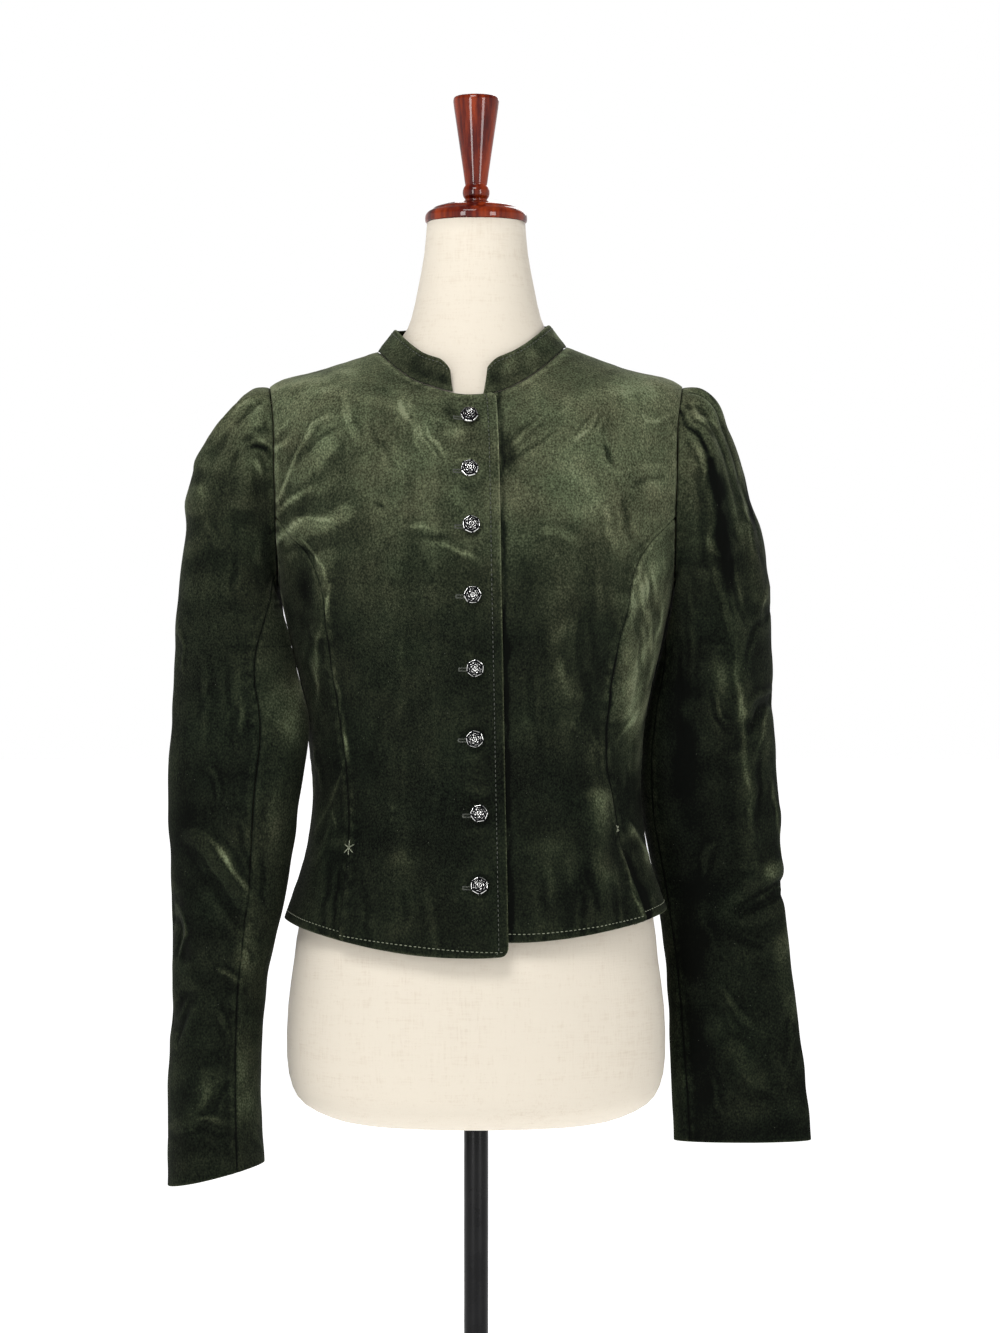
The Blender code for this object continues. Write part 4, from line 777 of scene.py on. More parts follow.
# Lightness down the cloth by row of the frame: lighter towards the top, partly from the nap and partly
# painted light from above, and darker lower down as painted shade
BODY_NAP_AND_PAINTED_TOP_LIGHT = (
    (330, 0.55), (420, 0.50), (500, 0.45), (560, 0.30), (620, 0.17), (740, 0.13), (870, 0.11), (960, 0.13),
)
SLEEVE_NAP_AND_PAINTED_TOP_LIGHT = (
    (380, 0.42), (430, 0.36), (480, 0.24), (540, 0.16), (640, 0.12), (800, 0.10), (920, 0.10), (1180, 0.12),
)
COLLAR_NAP = 0.26
MARK_WIDTH = 0.72
# Painted highlight on the crests of folds and painted shade in their troughs: strength, the relief that
# counts as one, and its limits
CREST_SHINE, CREST_RELIEF, CREST_LIMITS, CREST_BASE = 0.14, 0.00010, (-0.7, 1.7), 0.3
RELIEF_STEPS = 6
# Painted highlight along free edges, painted shade along seams, and painted highlight on the puff beside
# each seam: strength and width, and for the puff also its distance from the seam
EDGE_SHINE, EDGE_SHINE_WIDTH = 0.30, 0.0007
SEAM_SHADE, SEAM_SHADE_WIDTH = 0.10, 0.0008
PUFF_SHINE, PUFF_SHINE_AT, PUFF_SHINE_WIDTH = 0.05, 0.0030, 0.0016
# Random unevenness of the value, and the share of it that the inner face keeps, which paints shade inside
# the jacket
NAP_UNEVEN, INSIDE_PAINTED_SHADE_SHARE = 0.02, 0.5

# Finish of the cloth's edges, in metres: the radius of a free edge, the roll into a seam, and the
# stitched lines' distance from an edge
EDGE_ROUND, EDGE_MOST, SEAM_ROLL, SEAM_REACH = 0.0007, 0.0010, 0.00022, 0.0009
SEAM_PUFF, SEAM_PUFF_AT, SEAM_PUFF_WIDTH = 0.00018, 0.0048, 0.0024
PUCKER, PUCKER_REACH = 0.00014, 0.0080
STITCH_DIP, STITCH_DIP_WIDTH = 0.00012, 0.0011
FACING = {"free": 0.030, "seam": 0.006}
EDGE_COLUMNS = (0.0, 0.0004, 0.0009, 0.0016, 0.0026)
CLOTH_STEP, HIDDEN_STEP = 0.0023, 0.0043
SWELL, COLLAR_SWELL, SWELL_WAVES, WAVE_SPREAD = 0.00035, 0.0002, 14, (0.7, 1.6)
# Degrees and levels to each side where the body's normals are measured
NORMAL_STEPS = (0.4, 0.02)
# How soon the front's folds, creases and marks give way to the back's, either side of the middle
BODY_BLEND, SLEEVE_BLEND, MARK_BLEND = 0.012, 0.006, 0.020
# Where folds, creases and the swell reach their full height below the armhole, in rows
FOLD_START, CREASE_START, SWELL_START = 0.25, 0.12, 0.5
LINE_FADE, MILLIMETRE = 0.4, 0.001
CREASE_WIDTH = {"body": 0.52, "sleeve": 0.48}
CREASE_HEIGHT = {"body": 0.40, "sleeve": 0.54}
WARP, WARP_LENGTH, UNEVEN = 1.1, 0.024, 0.28
# Wavelength and seed of each random swell
BODY_WAVES, SLEEVE_WAVES, COLLAR_WAVES = (0.055, 3), (0.050, 5), (0.030, 9)
PUCKER_WAVES, NAP_WAVES = (0.011, 21), (0.10, 32)
WARP_ACROSS, WARP_DOWN, UNEVEN_WAVES = (WARP_LENGTH, 41), (WARP_LENGTH, 42), (1.4 * WARP_LENGTH, 43)
# Metres to one level or row: at the hem, at the closure's top, at the neck, and at the cuff
HEM_ROW, TOP_ROW, NECK_ROW, CUFF_LENGTH = 0.040, 0.018, 0.050, 0.080
# Rows of the fine meshes: below the armhole, round it and above it, and in a sleeve's head and below
LOWER_ROWS, ARMHOLE_ROWS, UPPER_ROWS = 122, 90, 42
HEAD_ROWS, ARM_ROWS = 66, 176
UNDER_STEP, TOP_SLEEVE_HIDDEN = 0.0030, 0.44
HEM_OFFSET, PLACKET_OFFSET, COLLAR_OFFSET = 0.0074, 0.0082, 0.0040
HEM_CORNER, VENT_CORNER, TOP_CORNER = 0.0060, 0.0034, 0.0075
SEAT_REACH = 0.0095
# Where a sleeve hangs against the body: the height and its reach up and down, then the room that is
# left when the sleeve moves in, the least room, and the most that it moves
ARMPIT = {"left": (1.150, 0.040), "right": (1.128, 0.040)}
ARMPIT_CLEAR, ARMPIT_LEAST, ARMPIT_MOST = 0.0026, 0.0026, 0.0040
# How both begin: round the sleeve, as the cosine from its outer line, and down from the armhole, in rows
ARMPIT_INNER, ARMPIT_BELOW = (-0.3, -0.95), (0.05, 0.3)
LEAST_INNER, LEAST_BELOW = (0.1, -0.6), (-0.07, 0.2)

STITCH_LENGTH, STITCH_SPACE, STITCH_RADIUS = 0.0026, 0.0015, 0.00036
HOLE_LENGTH, HOLE_SPACE, HOLE_WRAP, HOLE_SIDE, HOLE_DROP = 0.0150, 0.00060, 0.0016, 0.0012, 0.0018
HOLE_PAST, HOLE_RADIUS, BAR_RADIUS, BAR_PLACES = 0.002, 0.00027, 0.00030, (0.0004, 0.0009)

# Buttons: a dome on a shank, with rings of petals. Heights are above the cloth.
BUTTON_RADIUS, BUTTON_STEPS, BUTTON_TURN = 0.0079, 84, 0.4
BUTTON_RIM, BUTTON_DOME, BUTTON_EDGE = 0.0036, 0.0020, 0.0034
# A ring of petals: its radius, their number, turn and depth, the step outside it, its groove's width
BUTTON_PETALS = (
    (0.80, 6, 0.50, 0.04, 0.00055, 0.075),
    (0.62, 5, 0.20, 0.20, 0.00050, 0.060),
    (0.38, 4, 0.90, 0.24, 0.00045, 0.055),
    (0.14, 3, 0.40, 0.20, 0.00040, 0.040),
)
PETAL_SWIRL, PETAL_GROOVE, PETAL_CREST = 0.9, 0.00050, 0.00022
# The underside and the shank, as share of the radius and height
BUTTON_UNDER = ((0.99, 0.0030), (0.93, 0.0026), (0.80, 0.0024), (0.24, 0.0022), (0.23, 0.0012), (0.23, 0.0))
# How dark the underside and shank are on the silver ramp
UNDERSIDE_DARKNESS = 0.9

TURNED_FINE, TURNED_SHARP = 80, 50
CAP_ROUND, FINIAL_ROUND, POLE_ROUND, BASE_ROUND = 0.0016, 0.0012, 0.0008, 0.0022
FORM_STEPS, FORM_ROUND = 2, 144


def smooth_step(low, high, value):
    """0 before low, 1 after high, and smooth between. low may be the larger of the two."""
    share = np.clip((value - low) / (high - low), 0.0, 1.0)
    return share * share * (3.0 - 2.0 * share)


def smooth_through(values, level):
    """A smooth curve through evenly spaced values or points, read at a level or an array of levels."""
    values = np.asarray(values, float)
    level = np.clip(np.asarray(level, float), 0.0, len(values) - 1.0)
    padded = np.concatenate(([2 * values[0] - values[1]], values, [2 * values[-1] - values[-2]]))
    first = np.minimum(level.astype(int), len(values) - 2)
    share = np.reshape(level - first, np.shape(level) + (1,) * (values.ndim - 1))
    before, start, end, after = (padded[first + i] for i in range(4))
    linear = end - before
    square = 2 * before - 5 * start + 4 * end - after
    cube = 3 * start - before - 3 * end + after
    return start + 0.5 * share * (linear + share * (square + share * cube))


def column(table, columns, name, level):
    """One named column of a section table at a level."""
    index = columns.index(name)
    return smooth_through([row[index] for row in table.values()], level)


def body_column(name, level):
    return column(BODY, BODY_COLUMNS, name, level)


def rounded_section(angle, half_width, front, back, squareness):
    """x and y of a rounded section at an angle from the front, towards +X."""
    sine, cosine = np.sin(angle), np.cos(angle)
    depth = np.where(cosine > 0, front, back)
    reach = np.abs(sine / half_width) ** squareness + np.abs(cosine / depth) ** squareness
    reach = reach ** (-1 / squareness)
    return reach * sine, -reach * cosine


def body_base(angle, level):
    """The body's smooth outer surface. angle is in degrees from the centre front, towards +X."""
    turn = np.radians(angle)
    level = np.asarray(level, float) + 0.0 * turn
    width, front, back = (body_column(name, level) for name in ("half_width", "front", "back"))
    x, y = rounded_section(turn, width, front, back, body_column("squareness", level))
    facing = np.cos(turn)
    rise = np.where(facing > 0, body_column("front_rise", level), body_column("back_rise", level))
    z = body_column("z", level) + rise * facing**2
    z = z - body_column("right_drop", level) * smooth_step(0.0, -1.0, np.sin(turn))
    x = x + body_column("shift", level)
    away = ((np.abs(x) - CUP_X) ** 2 + (z - CUP_Z) ** 2) / (2 * CUP_RADIUS**2)
    y = y - np.where(facing > 0, CUP_DEPTH * np.exp(-away) * np.clip(facing, 0, 1), 0.0)
    return np.stack([x, y, z], axis=-1)


def rounding(distance, radius):
    """How far a rounded edge or corner draws in, at a distance from its end."""
    share = np.clip(1 - distance / radius, 0.0, 1.0)
    return radius * (1 - np.sqrt(1 - share**2))


def surface_normals(surface, across, along, step_across, step_along):
    """Unit normals of a surface given as a function of two parameters, by central differences."""
    side = surface(across + step_across, along) - surface(across - step_across, along)
    up = surface(across, along + step_along) - surface(across, along - step_along)
    normal = np.cross(side, up)
    return normal / np.linalg.norm(normal, axis=-1, keepdims=True)


def body_normals(angle, level):
    return surface_normals(body_base, angle, level, *NORMAL_STEPS)


def fold_height(points, folds, facing):
    """Summed height of the folds at the points. facing is 1 on the side that the folds are on, else 0."""
    height = np.zeros(points.shape[:-1])
    x, z = points[..., 0], points[..., 2]
    for x0, z0, x1, z1, width, rise in folds:
        length = (x1 - x0) ** 2 + (z1 - z0) ** 2
        share = np.clip(((x - x0) * (x1 - x0) + (z - z0) * (z1 - z0)) / length, 0.0, 1.0)
        gap = (x - x0 - share * (x1 - x0)) ** 2 + (z - z0 - share * (z1 - z0)) ** 2
        height += rise * np.exp(-gap / width**2)
    return height * facing


def armhole_swing(level):
    """How far the armhole's edge stands from the side line at a level, in degrees."""
    share = np.clip(np.abs(level - ARMHOLE_MIDDLE) / ARMHOLE_REACH, 0.0, 1.0)
    return ARMHOLE_SWING * (1 - share**ARMHOLE_FULLNESS) ** (1 / ARMHOLE_FULLNESS)


def princess_angle(side, level):
    """A princess seam's angle, which turns out into the armhole."""
    base = smooth_through(PRINCESS[side], level)
    joined = 90.0 - armhole_swing(PRINCESS_JOIN)
    share = np.clip((level - PRINCESS_TURN) / (PRINCESS_JOIN - PRINCESS_TURN), 0.0, 1.0)
    return base + (joined - base) * share ** PRINCESS_POWER[side]


def half_seam(surface, angles, rows):
    """Half a seam's gap in degrees, measured square to the seam that runs through the rows."""
    across = surface(angles + 0.5, rows) - surface(angles - 0.5, rows)
    along = np.gradient(surface(angles, rows), axis=0)
    along = along / np.linalg.norm(along, axis=-1, keepdims=True)
    return SEAM_HALF / np.linalg.norm(np.cross(across, along), axis=-1)


def side_edge(levels):
    """Side seam, then the armhole's front edge, then the shoulder seam."""
    return 90.0 - armhole_swing(levels) - half_seam(body_base, np.full(len(levels), 90.0), levels)


def princess_edge(side, levels, way):
    """A panel's edge at the princess seam: way is -1 for the centre front and 1 for the side front."""
    seam = princess_angle(side, levels)
    return seam + way * half_seam(body_base, seam, levels)


def front_edge(side, levels):
    """The outer edge of a centre front: princess seam up to the armhole, then as side_edge."""
    return np.where(levels < PRINCESS_JOIN, princess_edge(side, levels, -1), side_edge(levels))


def angle_at_x(x, level):
    return np.degrees(np.arctan2(x, body_column("front", level)))


def closure_x(level):
    return np.interp(level, list(CLOSURE_X), list(CLOSURE_X.values()))


def vent_flare(side, angle, level):
    """How far a centre front stands out beside its vent."""
    from_edge = (np.abs(angle) - princess_angle(side, level)) / FLARE_SPREAD
    return VENT_FLARE[side] * smooth_step(TACK_LEVEL, HEM, level) * np.exp(-(from_edge**2))


def closure_lift(x):
    """The right front and the collar's right end ride over the left front near the centre."""
    return LAYER * smooth_step(LIFT_END_X, LIFT_FULL_X, x)


def armhole_point(around):
    """A point of the sleeve's edge in the armhole, a gap in from it. around is 0 at the shoulder."""
    turn = np.radians(around)
    power = 2 / ARMHOLE_FULLNESS
    up = np.sign(np.cos(turn)) * np.abs(np.cos(turn)) ** power
    swing = np.sign(np.sin(turn)) * np.abs(np.sin(turn)) ** power
    edge = body_base(90.0 - ARMHOLE_SWING * swing, ARMHOLE_MIDDLE + ARMHOLE_REACH * up)
    inwards = body_base(np.array(90.0), np.array(ARMHOLE_MIDDLE)) - edge
    return edge + SLEEVE_GAP * inwards / np.linalg.norm(inwards, axis=-1, keepdims=True)


def sleeve_ring(side, around, row):
    """The sleeve below the armhole, as if on the left. around is 0 at the outer line, 90 at the front."""
    values = {name: column(SLEEVE[side], SLEEVE_COLUMNS, name, row) for name in SLEEVE_COLUMNS}
    turn, swing = np.radians(around), np.radians(values["turn"])
    out, back = values["half_width"] * np.cos(turn), -values["half_depth"] * np.sin(turn)
    x = values["x"] + out * np.cos(swing) - back * np.sin(swing)
    y = values["y"] + out * np.sin(swing) + back * np.cos(swing)
    z = values["z"] + values["tilt"] * np.cos(turn)
    return np.stack([x, y, z + 0.0 * x], axis=-1)


def sleeve_base(side, around, along):
    """The sleeve's smooth outer surface. along is 0 at the armhole, 1 at the bicep, then 1 more a row."""
    ring = sleeve_ring(side, around, np.clip(along - 1.0, 0.0, CUFF_ROW))
    start, turn = armhole_point(around), np.radians(around)
    top = (0.5 + 0.5 * np.cos(turn))[..., None]
    forward = (-HEAD_SPREAD * np.sin(turn))[..., None]
    out = UNDER_OUT + (HEAD_OUT - UNDER_OUT) * top
    up = UNDER_UP + (HEAD_UP - UNDER_UP) * top
    leave = np.concatenate([out, forward, up], axis=-1)
    drop = -(UNDER_DROP + (HEAD_DROP - UNDER_DROP) * top)
    arrive = np.concatenate([0 * drop, 0 * drop, drop], axis=-1)
    share = np.clip(along, 0.0, 1.0)[..., None]
    square, cube = share**2, share**3
    head = (2 * cube - 3 * square + 1) * start + (3 * square - 2 * cube) * ring
    head = head + (cube - 2 * square + share) * leave + (cube - square) * arrive
    return np.where((along < 1.0)[..., None], head, ring)


def tuck_height(side, around, along):
    """The sleeve head's tucks, mirrored to its back half: a groove at each and a puff between them."""
    height = np.zeros(np.shape(around))
    for middle in TUCKS[side]:
        for angle in (middle, -middle):
            height -= TUCK_DEPTH[side] * np.exp(-(((around - angle) / TUCK_WIDTH) ** 2))
    spread = max(TUCKS[side]) + 2 * TUCK_WIDTH
    height = height + TUCK_PUFF * smooth_step(spread + 14.0, spread - 8.0, np.abs(around))
    return height * smooth_step(0.0, TUCK_START, along) * np.exp(-((along / TUCK_FADE[side]) ** 2))


def seam_angles(side, rows):
    """The front and back seams of a sleeve, in degrees round from its outer line."""
    share = smooth_step(0.0, SEAM_SETTLES, rows)
    front = FRONT_SEAM_TOP + (FRONT_SEAM[side] - FRONT_SEAM_TOP) * share
    back = BACK_SEAM_TOP + (BACK_SEAM - BACK_SEAM_TOP) * share
    return front, back


def round_the_neck(values, turn):
    """A value that goes smoothly round the neck, from front to side to back."""
    ahead = np.where(np.sin(turn) > 0, values["front left"], values["front right"])
    end = np.where(np.cos(turn) > 0, ahead, values["back"])
    return values["side"] + (end - values["side"]) * np.cos(turn) ** 2


def smooth_lines(line, steps=4):
    """More points along a line, on a smooth curve through its own."""
    line = np.array(line, float)
    at = np.linspace(0, len(line) - 1, (len(line) - 1) * steps + 1)
    return smooth_through(line, at)


def seen(points):
    """Where the photograph's camera sees the points, in pixels of its frame."""
    near = -CAMERA[1] / (points[..., 1] - CAMERA[1])
    across = FRAME_CENTRE[0] + (points[..., 0] - CAMERA[0]) * near / PIXEL
    down = FRAME_CENTRE[1] - (points[..., 2] - CAMERA[2]) * near / PIXEL
    return across, down


def line_reach(across, down, line):
    """Distance from a line of pixels, and how far along it the nearest point is, from 0 to 1."""
    steps = np.diff(line, axis=0)
    lengths = np.hypot(steps[:, 0], steps[:, 1])
    starts = np.concatenate(([0.0], np.cumsum(lengths)))
    best, share = np.full(across.shape, 1e9), np.zeros(across.shape)
    for (x, y), (step_x, step_y), length, start in zip(line, steps, lengths, starts):
        along = np.clip(((across - x) * step_x + (down - y) * step_y) / length**2, 0.0, 1.0)
        gap = np.hypot(across - x - along * step_x, down - y - along * step_y)
        nearer = gap < best
        share = np.where(nearer, (start + along * length) / starts[-1], share)
        best = np.minimum(gap, best)
    return best, share


def marks(points, table, unit):
    """Summed strength of a table's lines at the points. unit is the pixels to one of its width units."""
    across, down = seen(points)
    across = across + WARP * waves(points, *WARP_ACROSS)
    down = down + WARP * waves(points, *WARP_DOWN)
    total = np.zeros(across.shape)
    for width, strength, ends, *line in table:
        line = smooth_lines(line)
        low, high = line.min(axis=0) - 3 * width * unit, line.max(axis=0) + 3 * width * unit
        near = (across > low[0]) & (across < high[0]) & (down > low[1]) & (down < high[1])
        gap, share = line_reach(across[near], down[near], line)
        start = smooth_step(0.0, LINE_FADE, share) if ends[0] == "<" else 1.0
        finish = smooth_step(1.0, 1.0 - LINE_FADE, share) if ends[1] == ">" else 1.0
        total[near] += strength * start * finish * np.exp(-((gap / (width * unit)) ** 2))
    return total * (1 + UNEVEN * waves(points, *UNEVEN_WAVES))


def waves(points, wavelength, seed):
    """A smooth random swell between about -1 and 1, the same at every run."""
    rng = np.random.default_rng(seed)
    total = np.zeros(points.shape[:-1])
    for _ in range(SWELL_WAVES):
        way = rng.normal(size=3)
        way *= 2 * np.pi / (wavelength * rng.uniform(*WAVE_SPREAD) * np.linalg.norm(way))
        total += np.sin(points @ way + rng.uniform(0, 2 * np.pi))
    return total / np.sqrt(SWELL_WAVES / 2)


def creases(points, table, group):
    """Height of a table's creases at the points, in metres."""
    width, height = MILLIMETRE * CREASE_WIDTH[group], MILLIMETRE * CREASE_HEIGHT[group]
    return height * marks(points, table, width / PIXEL)


def seat_fade(points):
    """0 under a button and 1 away from it, so that each button keeps its CAD seat."""
    fade = np.ones(points.shape[:-1])
    for height, x in BUTTONS:
        gap = np.hypot(points[..., 0] - x, points[..., 2] - height)
        fade *= np.where(points[..., 1] < 0, smooth_step(0.6 * SEAT_REACH, 1.6 * SEAT_REACH, gap), 1.0)
    return fade


def body_surface(angle, level, lift=0.0):
    """The body's outer surface with its folds and creases, moved out by lift."""
    points = body_base(angle, level)
    normals = body_normals(angle, level)
    ahead = smooth_step(BODY_BLEND, -BODY_BLEND, points[..., 1])
    height = fold_height(points, BODY_FOLDS["front"], ahead)
    height = height + fold_height(points, BODY_FOLDS["back"], 1 - ahead)
    height = height * smooth_step(SHOULDER + 0.3, SHOULDER - 0.6, level)
    fine = creases(points, BODY_CREASES, "body") * ahead
    fine = fine + creases(points, BACK_CREASES, "body") * (1 - ahead)
    fine = fine + SWELL * waves(points, *BODY_WAVES) * smooth_step(NECK, NECK - 1.0, level)
    fine = fine * seat_fade(points)
    return points + normals * (height + fine + lift)[..., None]


def armpit_fill(side, points, around, along):
    """How far the sleeve's inner side moves out of its section to rest by the body, without touching it."""
    heights = np.array([row[0] for row in BODY.values()])
    level = np.interp(points[..., 2], heights, np.arange(len(heights)))
    depth = np.where(points[..., 1] < 0, body_column("front", level), body_column("back", level))
    share = np.clip(np.abs(points[..., 1]) / depth, 0.0, 1.0)
    power = body_column("squareness", level)
    room = points[..., 0] - body_column("half_width", level) * (1 - share**power) ** (1 / power)
    middle, reach = ARMPIT[side]
    inner = np.cos(np.radians(around))
    inwards = smooth_step(*ARMPIT_INNER, inner) * smooth_step(*ARMPIT_BELOW, along)
    near = np.exp(-(((points[..., 2] - middle) / reach) ** 4)) * inwards
    filled = near * np.clip(room - ARMPIT_CLEAR, 0.0, ARMPIT_MOST)
    facing = smooth_step(*LEAST_INNER, inner) * smooth_step(*LEAST_BELOW, along)
    return filled + facing * np.clip(room - ARMPIT_LEAST, -ARMPIT_LEAST, 0.0)


def sleeve_surface(side, around, along, depth):
    """The sleeve's outer surface with tucks, folds and creases, or its inside at a depth."""
    base = partial(sleeve_base, side)
    points = base(around, along)
    normals = surface_normals(base, around, np.clip(along, 0.02, CUFF_ROW + 0.98), 1.0, 0.01)
    middle = column(SLEEVE[side], SLEEVE_COLUMNS, "y", np.clip(along - 1.0, 0.0, CUFF_ROW))
    ahead = smooth_step(SLEEVE_BLEND, -SLEEVE_BLEND, points[..., 1] - middle)
    folds = SLEEVE_FOLDS[side]
    height = fold_height(points, folds["front"], ahead) + fold_height(points, folds["back"], 1 - ahead)
    height = height + fold_height(points, HEAD_FOLDS[side], 1.0)
    height = height * smooth_step(0.0, FOLD_START, along) + tuck_height(side, around, along)
    mirror = np.array([SIDE_SIGN[side], 1.0, 1.0])
    lines = SLEEVE_CREASES[side]
    fine = creases(points * mirror, lines["front"], "sleeve") * ahead
    fine = fine + creases(points * mirror, lines["back"], "sleeve") * (1 - ahead)
    swell = SWELL * waves(points, *SLEEVE_WAVES) * smooth_step(0.0, SWELL_START, along)
    height = height + fine * smooth_step(0.0, CREASE_START, along) + swell
    height = height + armpit_fill(side, points + normals * height[..., None], around, along)
    points = points + normals * (height - depth)[..., None]
    return points * mirror


def fine_levels(top):
    """The rows of the body's mesh, about a step apart, closer at the hem and round the armhole."""
    hem = np.array(EDGE_COLUMNS) / HEM_ROW
    lower = np.linspace(hem[-1], UNDERARM, LOWER_ROWS)[1:]
    turns = np.linspace(0, np.pi, ARMHOLE_ROWS)[1:]
    armhole = ARMHOLE_MIDDLE - ARMHOLE_REACH * np.cos(turns)
    neck = NECK - np.array(EDGE_COLUMNS)[::-1] / NECK_ROW
    upper = np.linspace(SHOULDER, neck[0], UPPER_ROWS)[1:]
    levels = np.concatenate((hem, lower, armhole, upper, neck[1:], (PRINCESS_JOIN,)))
    levels = np.unique(np.round(levels[levels < top - 1e-6], 6))
    return np.append(levels, top)


def fine_angles(base, first, last, rows, step=CLOTH_STEP, hidden=0.0):
    """Angles for each row: the edge columns at fixed distances, and columns about a step apart between
    them. The first part of the width, the hidden share, has wider steps."""
    share = np.linspace(0.0, 1.0, 9)
    spread = first[:, None] + (last - first)[:, None] * share
    points = base(spread, np.broadcast_to(rows[:, None], spread.shape))
    width = np.linalg.norm(np.diff(points, axis=1), axis=-1).sum(axis=1)
    edge = np.minimum(np.array(EDGE_COLUMNS) / width[:, None], 0.1)
    wide = np.linspace(0, hidden, int(round(hidden * width.max() / HIDDEN_STEP)) + 1)[:-1]
    close = np.linspace(hidden, 1, max(4, int(round((1 - hidden) * width.max() / step))) + 1)
    middle = edge[:, -1:] + (1 - 2 * edge[:, -1:]) * np.concatenate((wide, close))[1:-1]
    share = np.concatenate((edge, middle, 1 - edge[:, ::-1]), axis=1)
    return first[:, None] + (last - first)[:, None] * share


def corner_cut(distance, radius):
    """How far a rounded corner draws an edge in, in degrees round the body, at a distance from the end."""
    return np.degrees(rounding(distance, radius) / BODY["high hip"][2])


def right_front_grid(depth=0.0):
    levels = fine_levels(float(NECK))
    first = corner_cut(HEM_ROW * levels, VENT_CORNER) - front_edge("right", levels)
    last = angle_at_x(closure_x(levels), levels) - corner_cut(HEM_ROW * levels, HEM_CORNER)
    last = last - corner_cut(TOP_ROW * (NECK - levels), TOP_CORNER)
    angles = fine_angles(body_base, first, last, levels)
    rows = np.broadcast_to(levels[:, None], angles.shape)
    lift = closure_lift(body_base(angles, rows)[..., 0]) + vent_flare("right", angles, rows)
    return body_surface(angles, rows, lift - depth)


def left_front_grid(depth=0.0):
    levels = fine_levels(float(NECK))
    last = front_edge("left", levels) - corner_cut(HEM_ROW * levels, VENT_CORNER)
    angles = fine_angles(body_base, angle_at_x(UNDERLAP_X, levels), last, levels)
    columns = angles.shape[1]
    short = LEFT_SHORT * np.linspace(1.0, 0.0, columns) ** LEFT_SHORT_POWER
    rows = levels[:, None] + short * np.clip(1 - levels[:, None] / LEFT_SHORT_TOP, 0.0, 1.0)
    return body_surface(angles, rows, vent_flare("left", angles, rows) - depth)


def side_front_grid(side, depth=0.0):
    levels = fine_levels(SIDE_TOP)
    first = princess_edge(side, levels, 1) - LAP * smooth_step(VENT_LEVEL, LAP_LEVEL, levels)
    angles = fine_angles(body_base, first, side_edge(levels), levels)
    rows = np.broadcast_to(levels[:, None], angles.shape)
    from_seam = angles - princess_angle(side, rows)
    sink = smooth_step(TACK_LEVEL, VENT_LEVEL, rows) * smooth_step(LAP_FADE[1], LAP_FADE[0], from_seam)
    return body_surface(SIDE_SIGN[side] * angles, rows, -LAYER * sink - depth)


def back_grid(depth=0.0):
    levels = fine_levels(float(NECK))
    edge = side_edge(levels)
    angles = fine_angles(body_base, 180.0 - edge, 180.0 + edge, levels, HIDDEN_STEP)
    return body_surface(angles, np.broadcast_to(levels[:, None], angles.shape), -depth)


def fine_sleeve_rows():
    head = np.concatenate(((0.0, 0.004, 0.009, 0.016), np.linspace(0.026, 1.0, HEAD_ROWS)))
    cuff = CUFF_ROW + 1.0 - np.array(EDGE_COLUMNS)[::-1] / CUFF_LENGTH
    below = np.linspace(1.0, cuff[0], ARM_ROWS)[1:]
    return np.concatenate((head, below, cuff[1:]))


def top_sleeve_grid(side, depth=0.0):
    rows = fine_sleeve_rows()
    front, back = seam_angles(side, rows)
    base = partial(sleeve_base, side)
    first, last = back + half_seam(base, back, rows), front - half_seam(base, front, rows)
    angles = fine_angles(base, first, last, rows, hidden=TOP_SLEEVE_HIDDEN)
    return sleeve_surface(side, angles, np.broadcast_to(rows[:, None], angles.shape), depth)


def under_sleeve_grid(side, depth=0.0):
    rows = fine_sleeve_rows()
    front, back = seam_angles(side, rows)
    base = partial(sleeve_base, side)
    first = front + half_seam(base, front, rows)
    last = back + 360.0 - half_seam(base, back, rows)
    angles = fine_angles(base, first, last, rows, UNDER_STEP)
    return sleeve_surface(side, angles, np.broadcast_to(rows[:, None], angles.shape), depth)


def collar_grid(depth=0.0):
    """The stand collar, from its left end round the back to its right end."""
    ends = np.linspace(0, COLLAR_END_SHARE, 10), np.linspace(1 - COLLAR_END_SHARE, 1, 10)
    share = np.linspace(COLLAR_END_SHARE, 1 - COLLAR_END_SHARE, COLLAR_COLUMNS)
    share = np.concatenate((ends[0][:-1], share, ends[1][1:]))
    height = np.concatenate(([0.0, 0.03, 0.07], np.linspace(0.14, 0.86, 8), [0.93, 0.97, 1.0]))[:, None]
    first = degrees(atan2(COLLAR_END_X["left"], BODY["neck"][2]))
    last = 360.0 + degrees(atan2(COLLAR_END_X["right"], BODY["neck"][2]))
    slant = COLLAR_SLANT * height
    angles = (first + slant) * (1 - share) + (last - slant) * share
    neck = np.full(angles.shape, float(NECK))
    over_left_front = (angles > 270.0) * closure_lift(body_base(angles, neck)[..., 0])
    foot = body_surface(angles, neck, over_left_front * (LAYER + COLLAR_WALL - WALL) / LAYER)
    from_end = np.minimum(angles - first, last - angles) * radians(1.0) * BODY["neck"][2]
    rise = round_the_neck(COLLAR_RISE, np.radians(angles))
    lean = round_the_neck(COLLAR_LEAN, np.radians(angles))
    climb = height * (1 - rounding(from_end, COLLAR_CORNER) / rise)
    radial = foot * np.array([1.0, 1.0, 0.0])
    radial = radial / np.linalg.norm(radial, axis=-1, keepdims=True)
    swell = COLLAR_SWELL * waves(foot + np.array([0, 0, 1.0]) * (rise * climb)[..., None], *COLLAR_WAVES)
    grid = foot - radial * (lean * climb + depth - swell * np.sin(np.pi * climb))[..., None]
    grid[..., 2] += COLLAR_GAP + rise * climb
    return grid


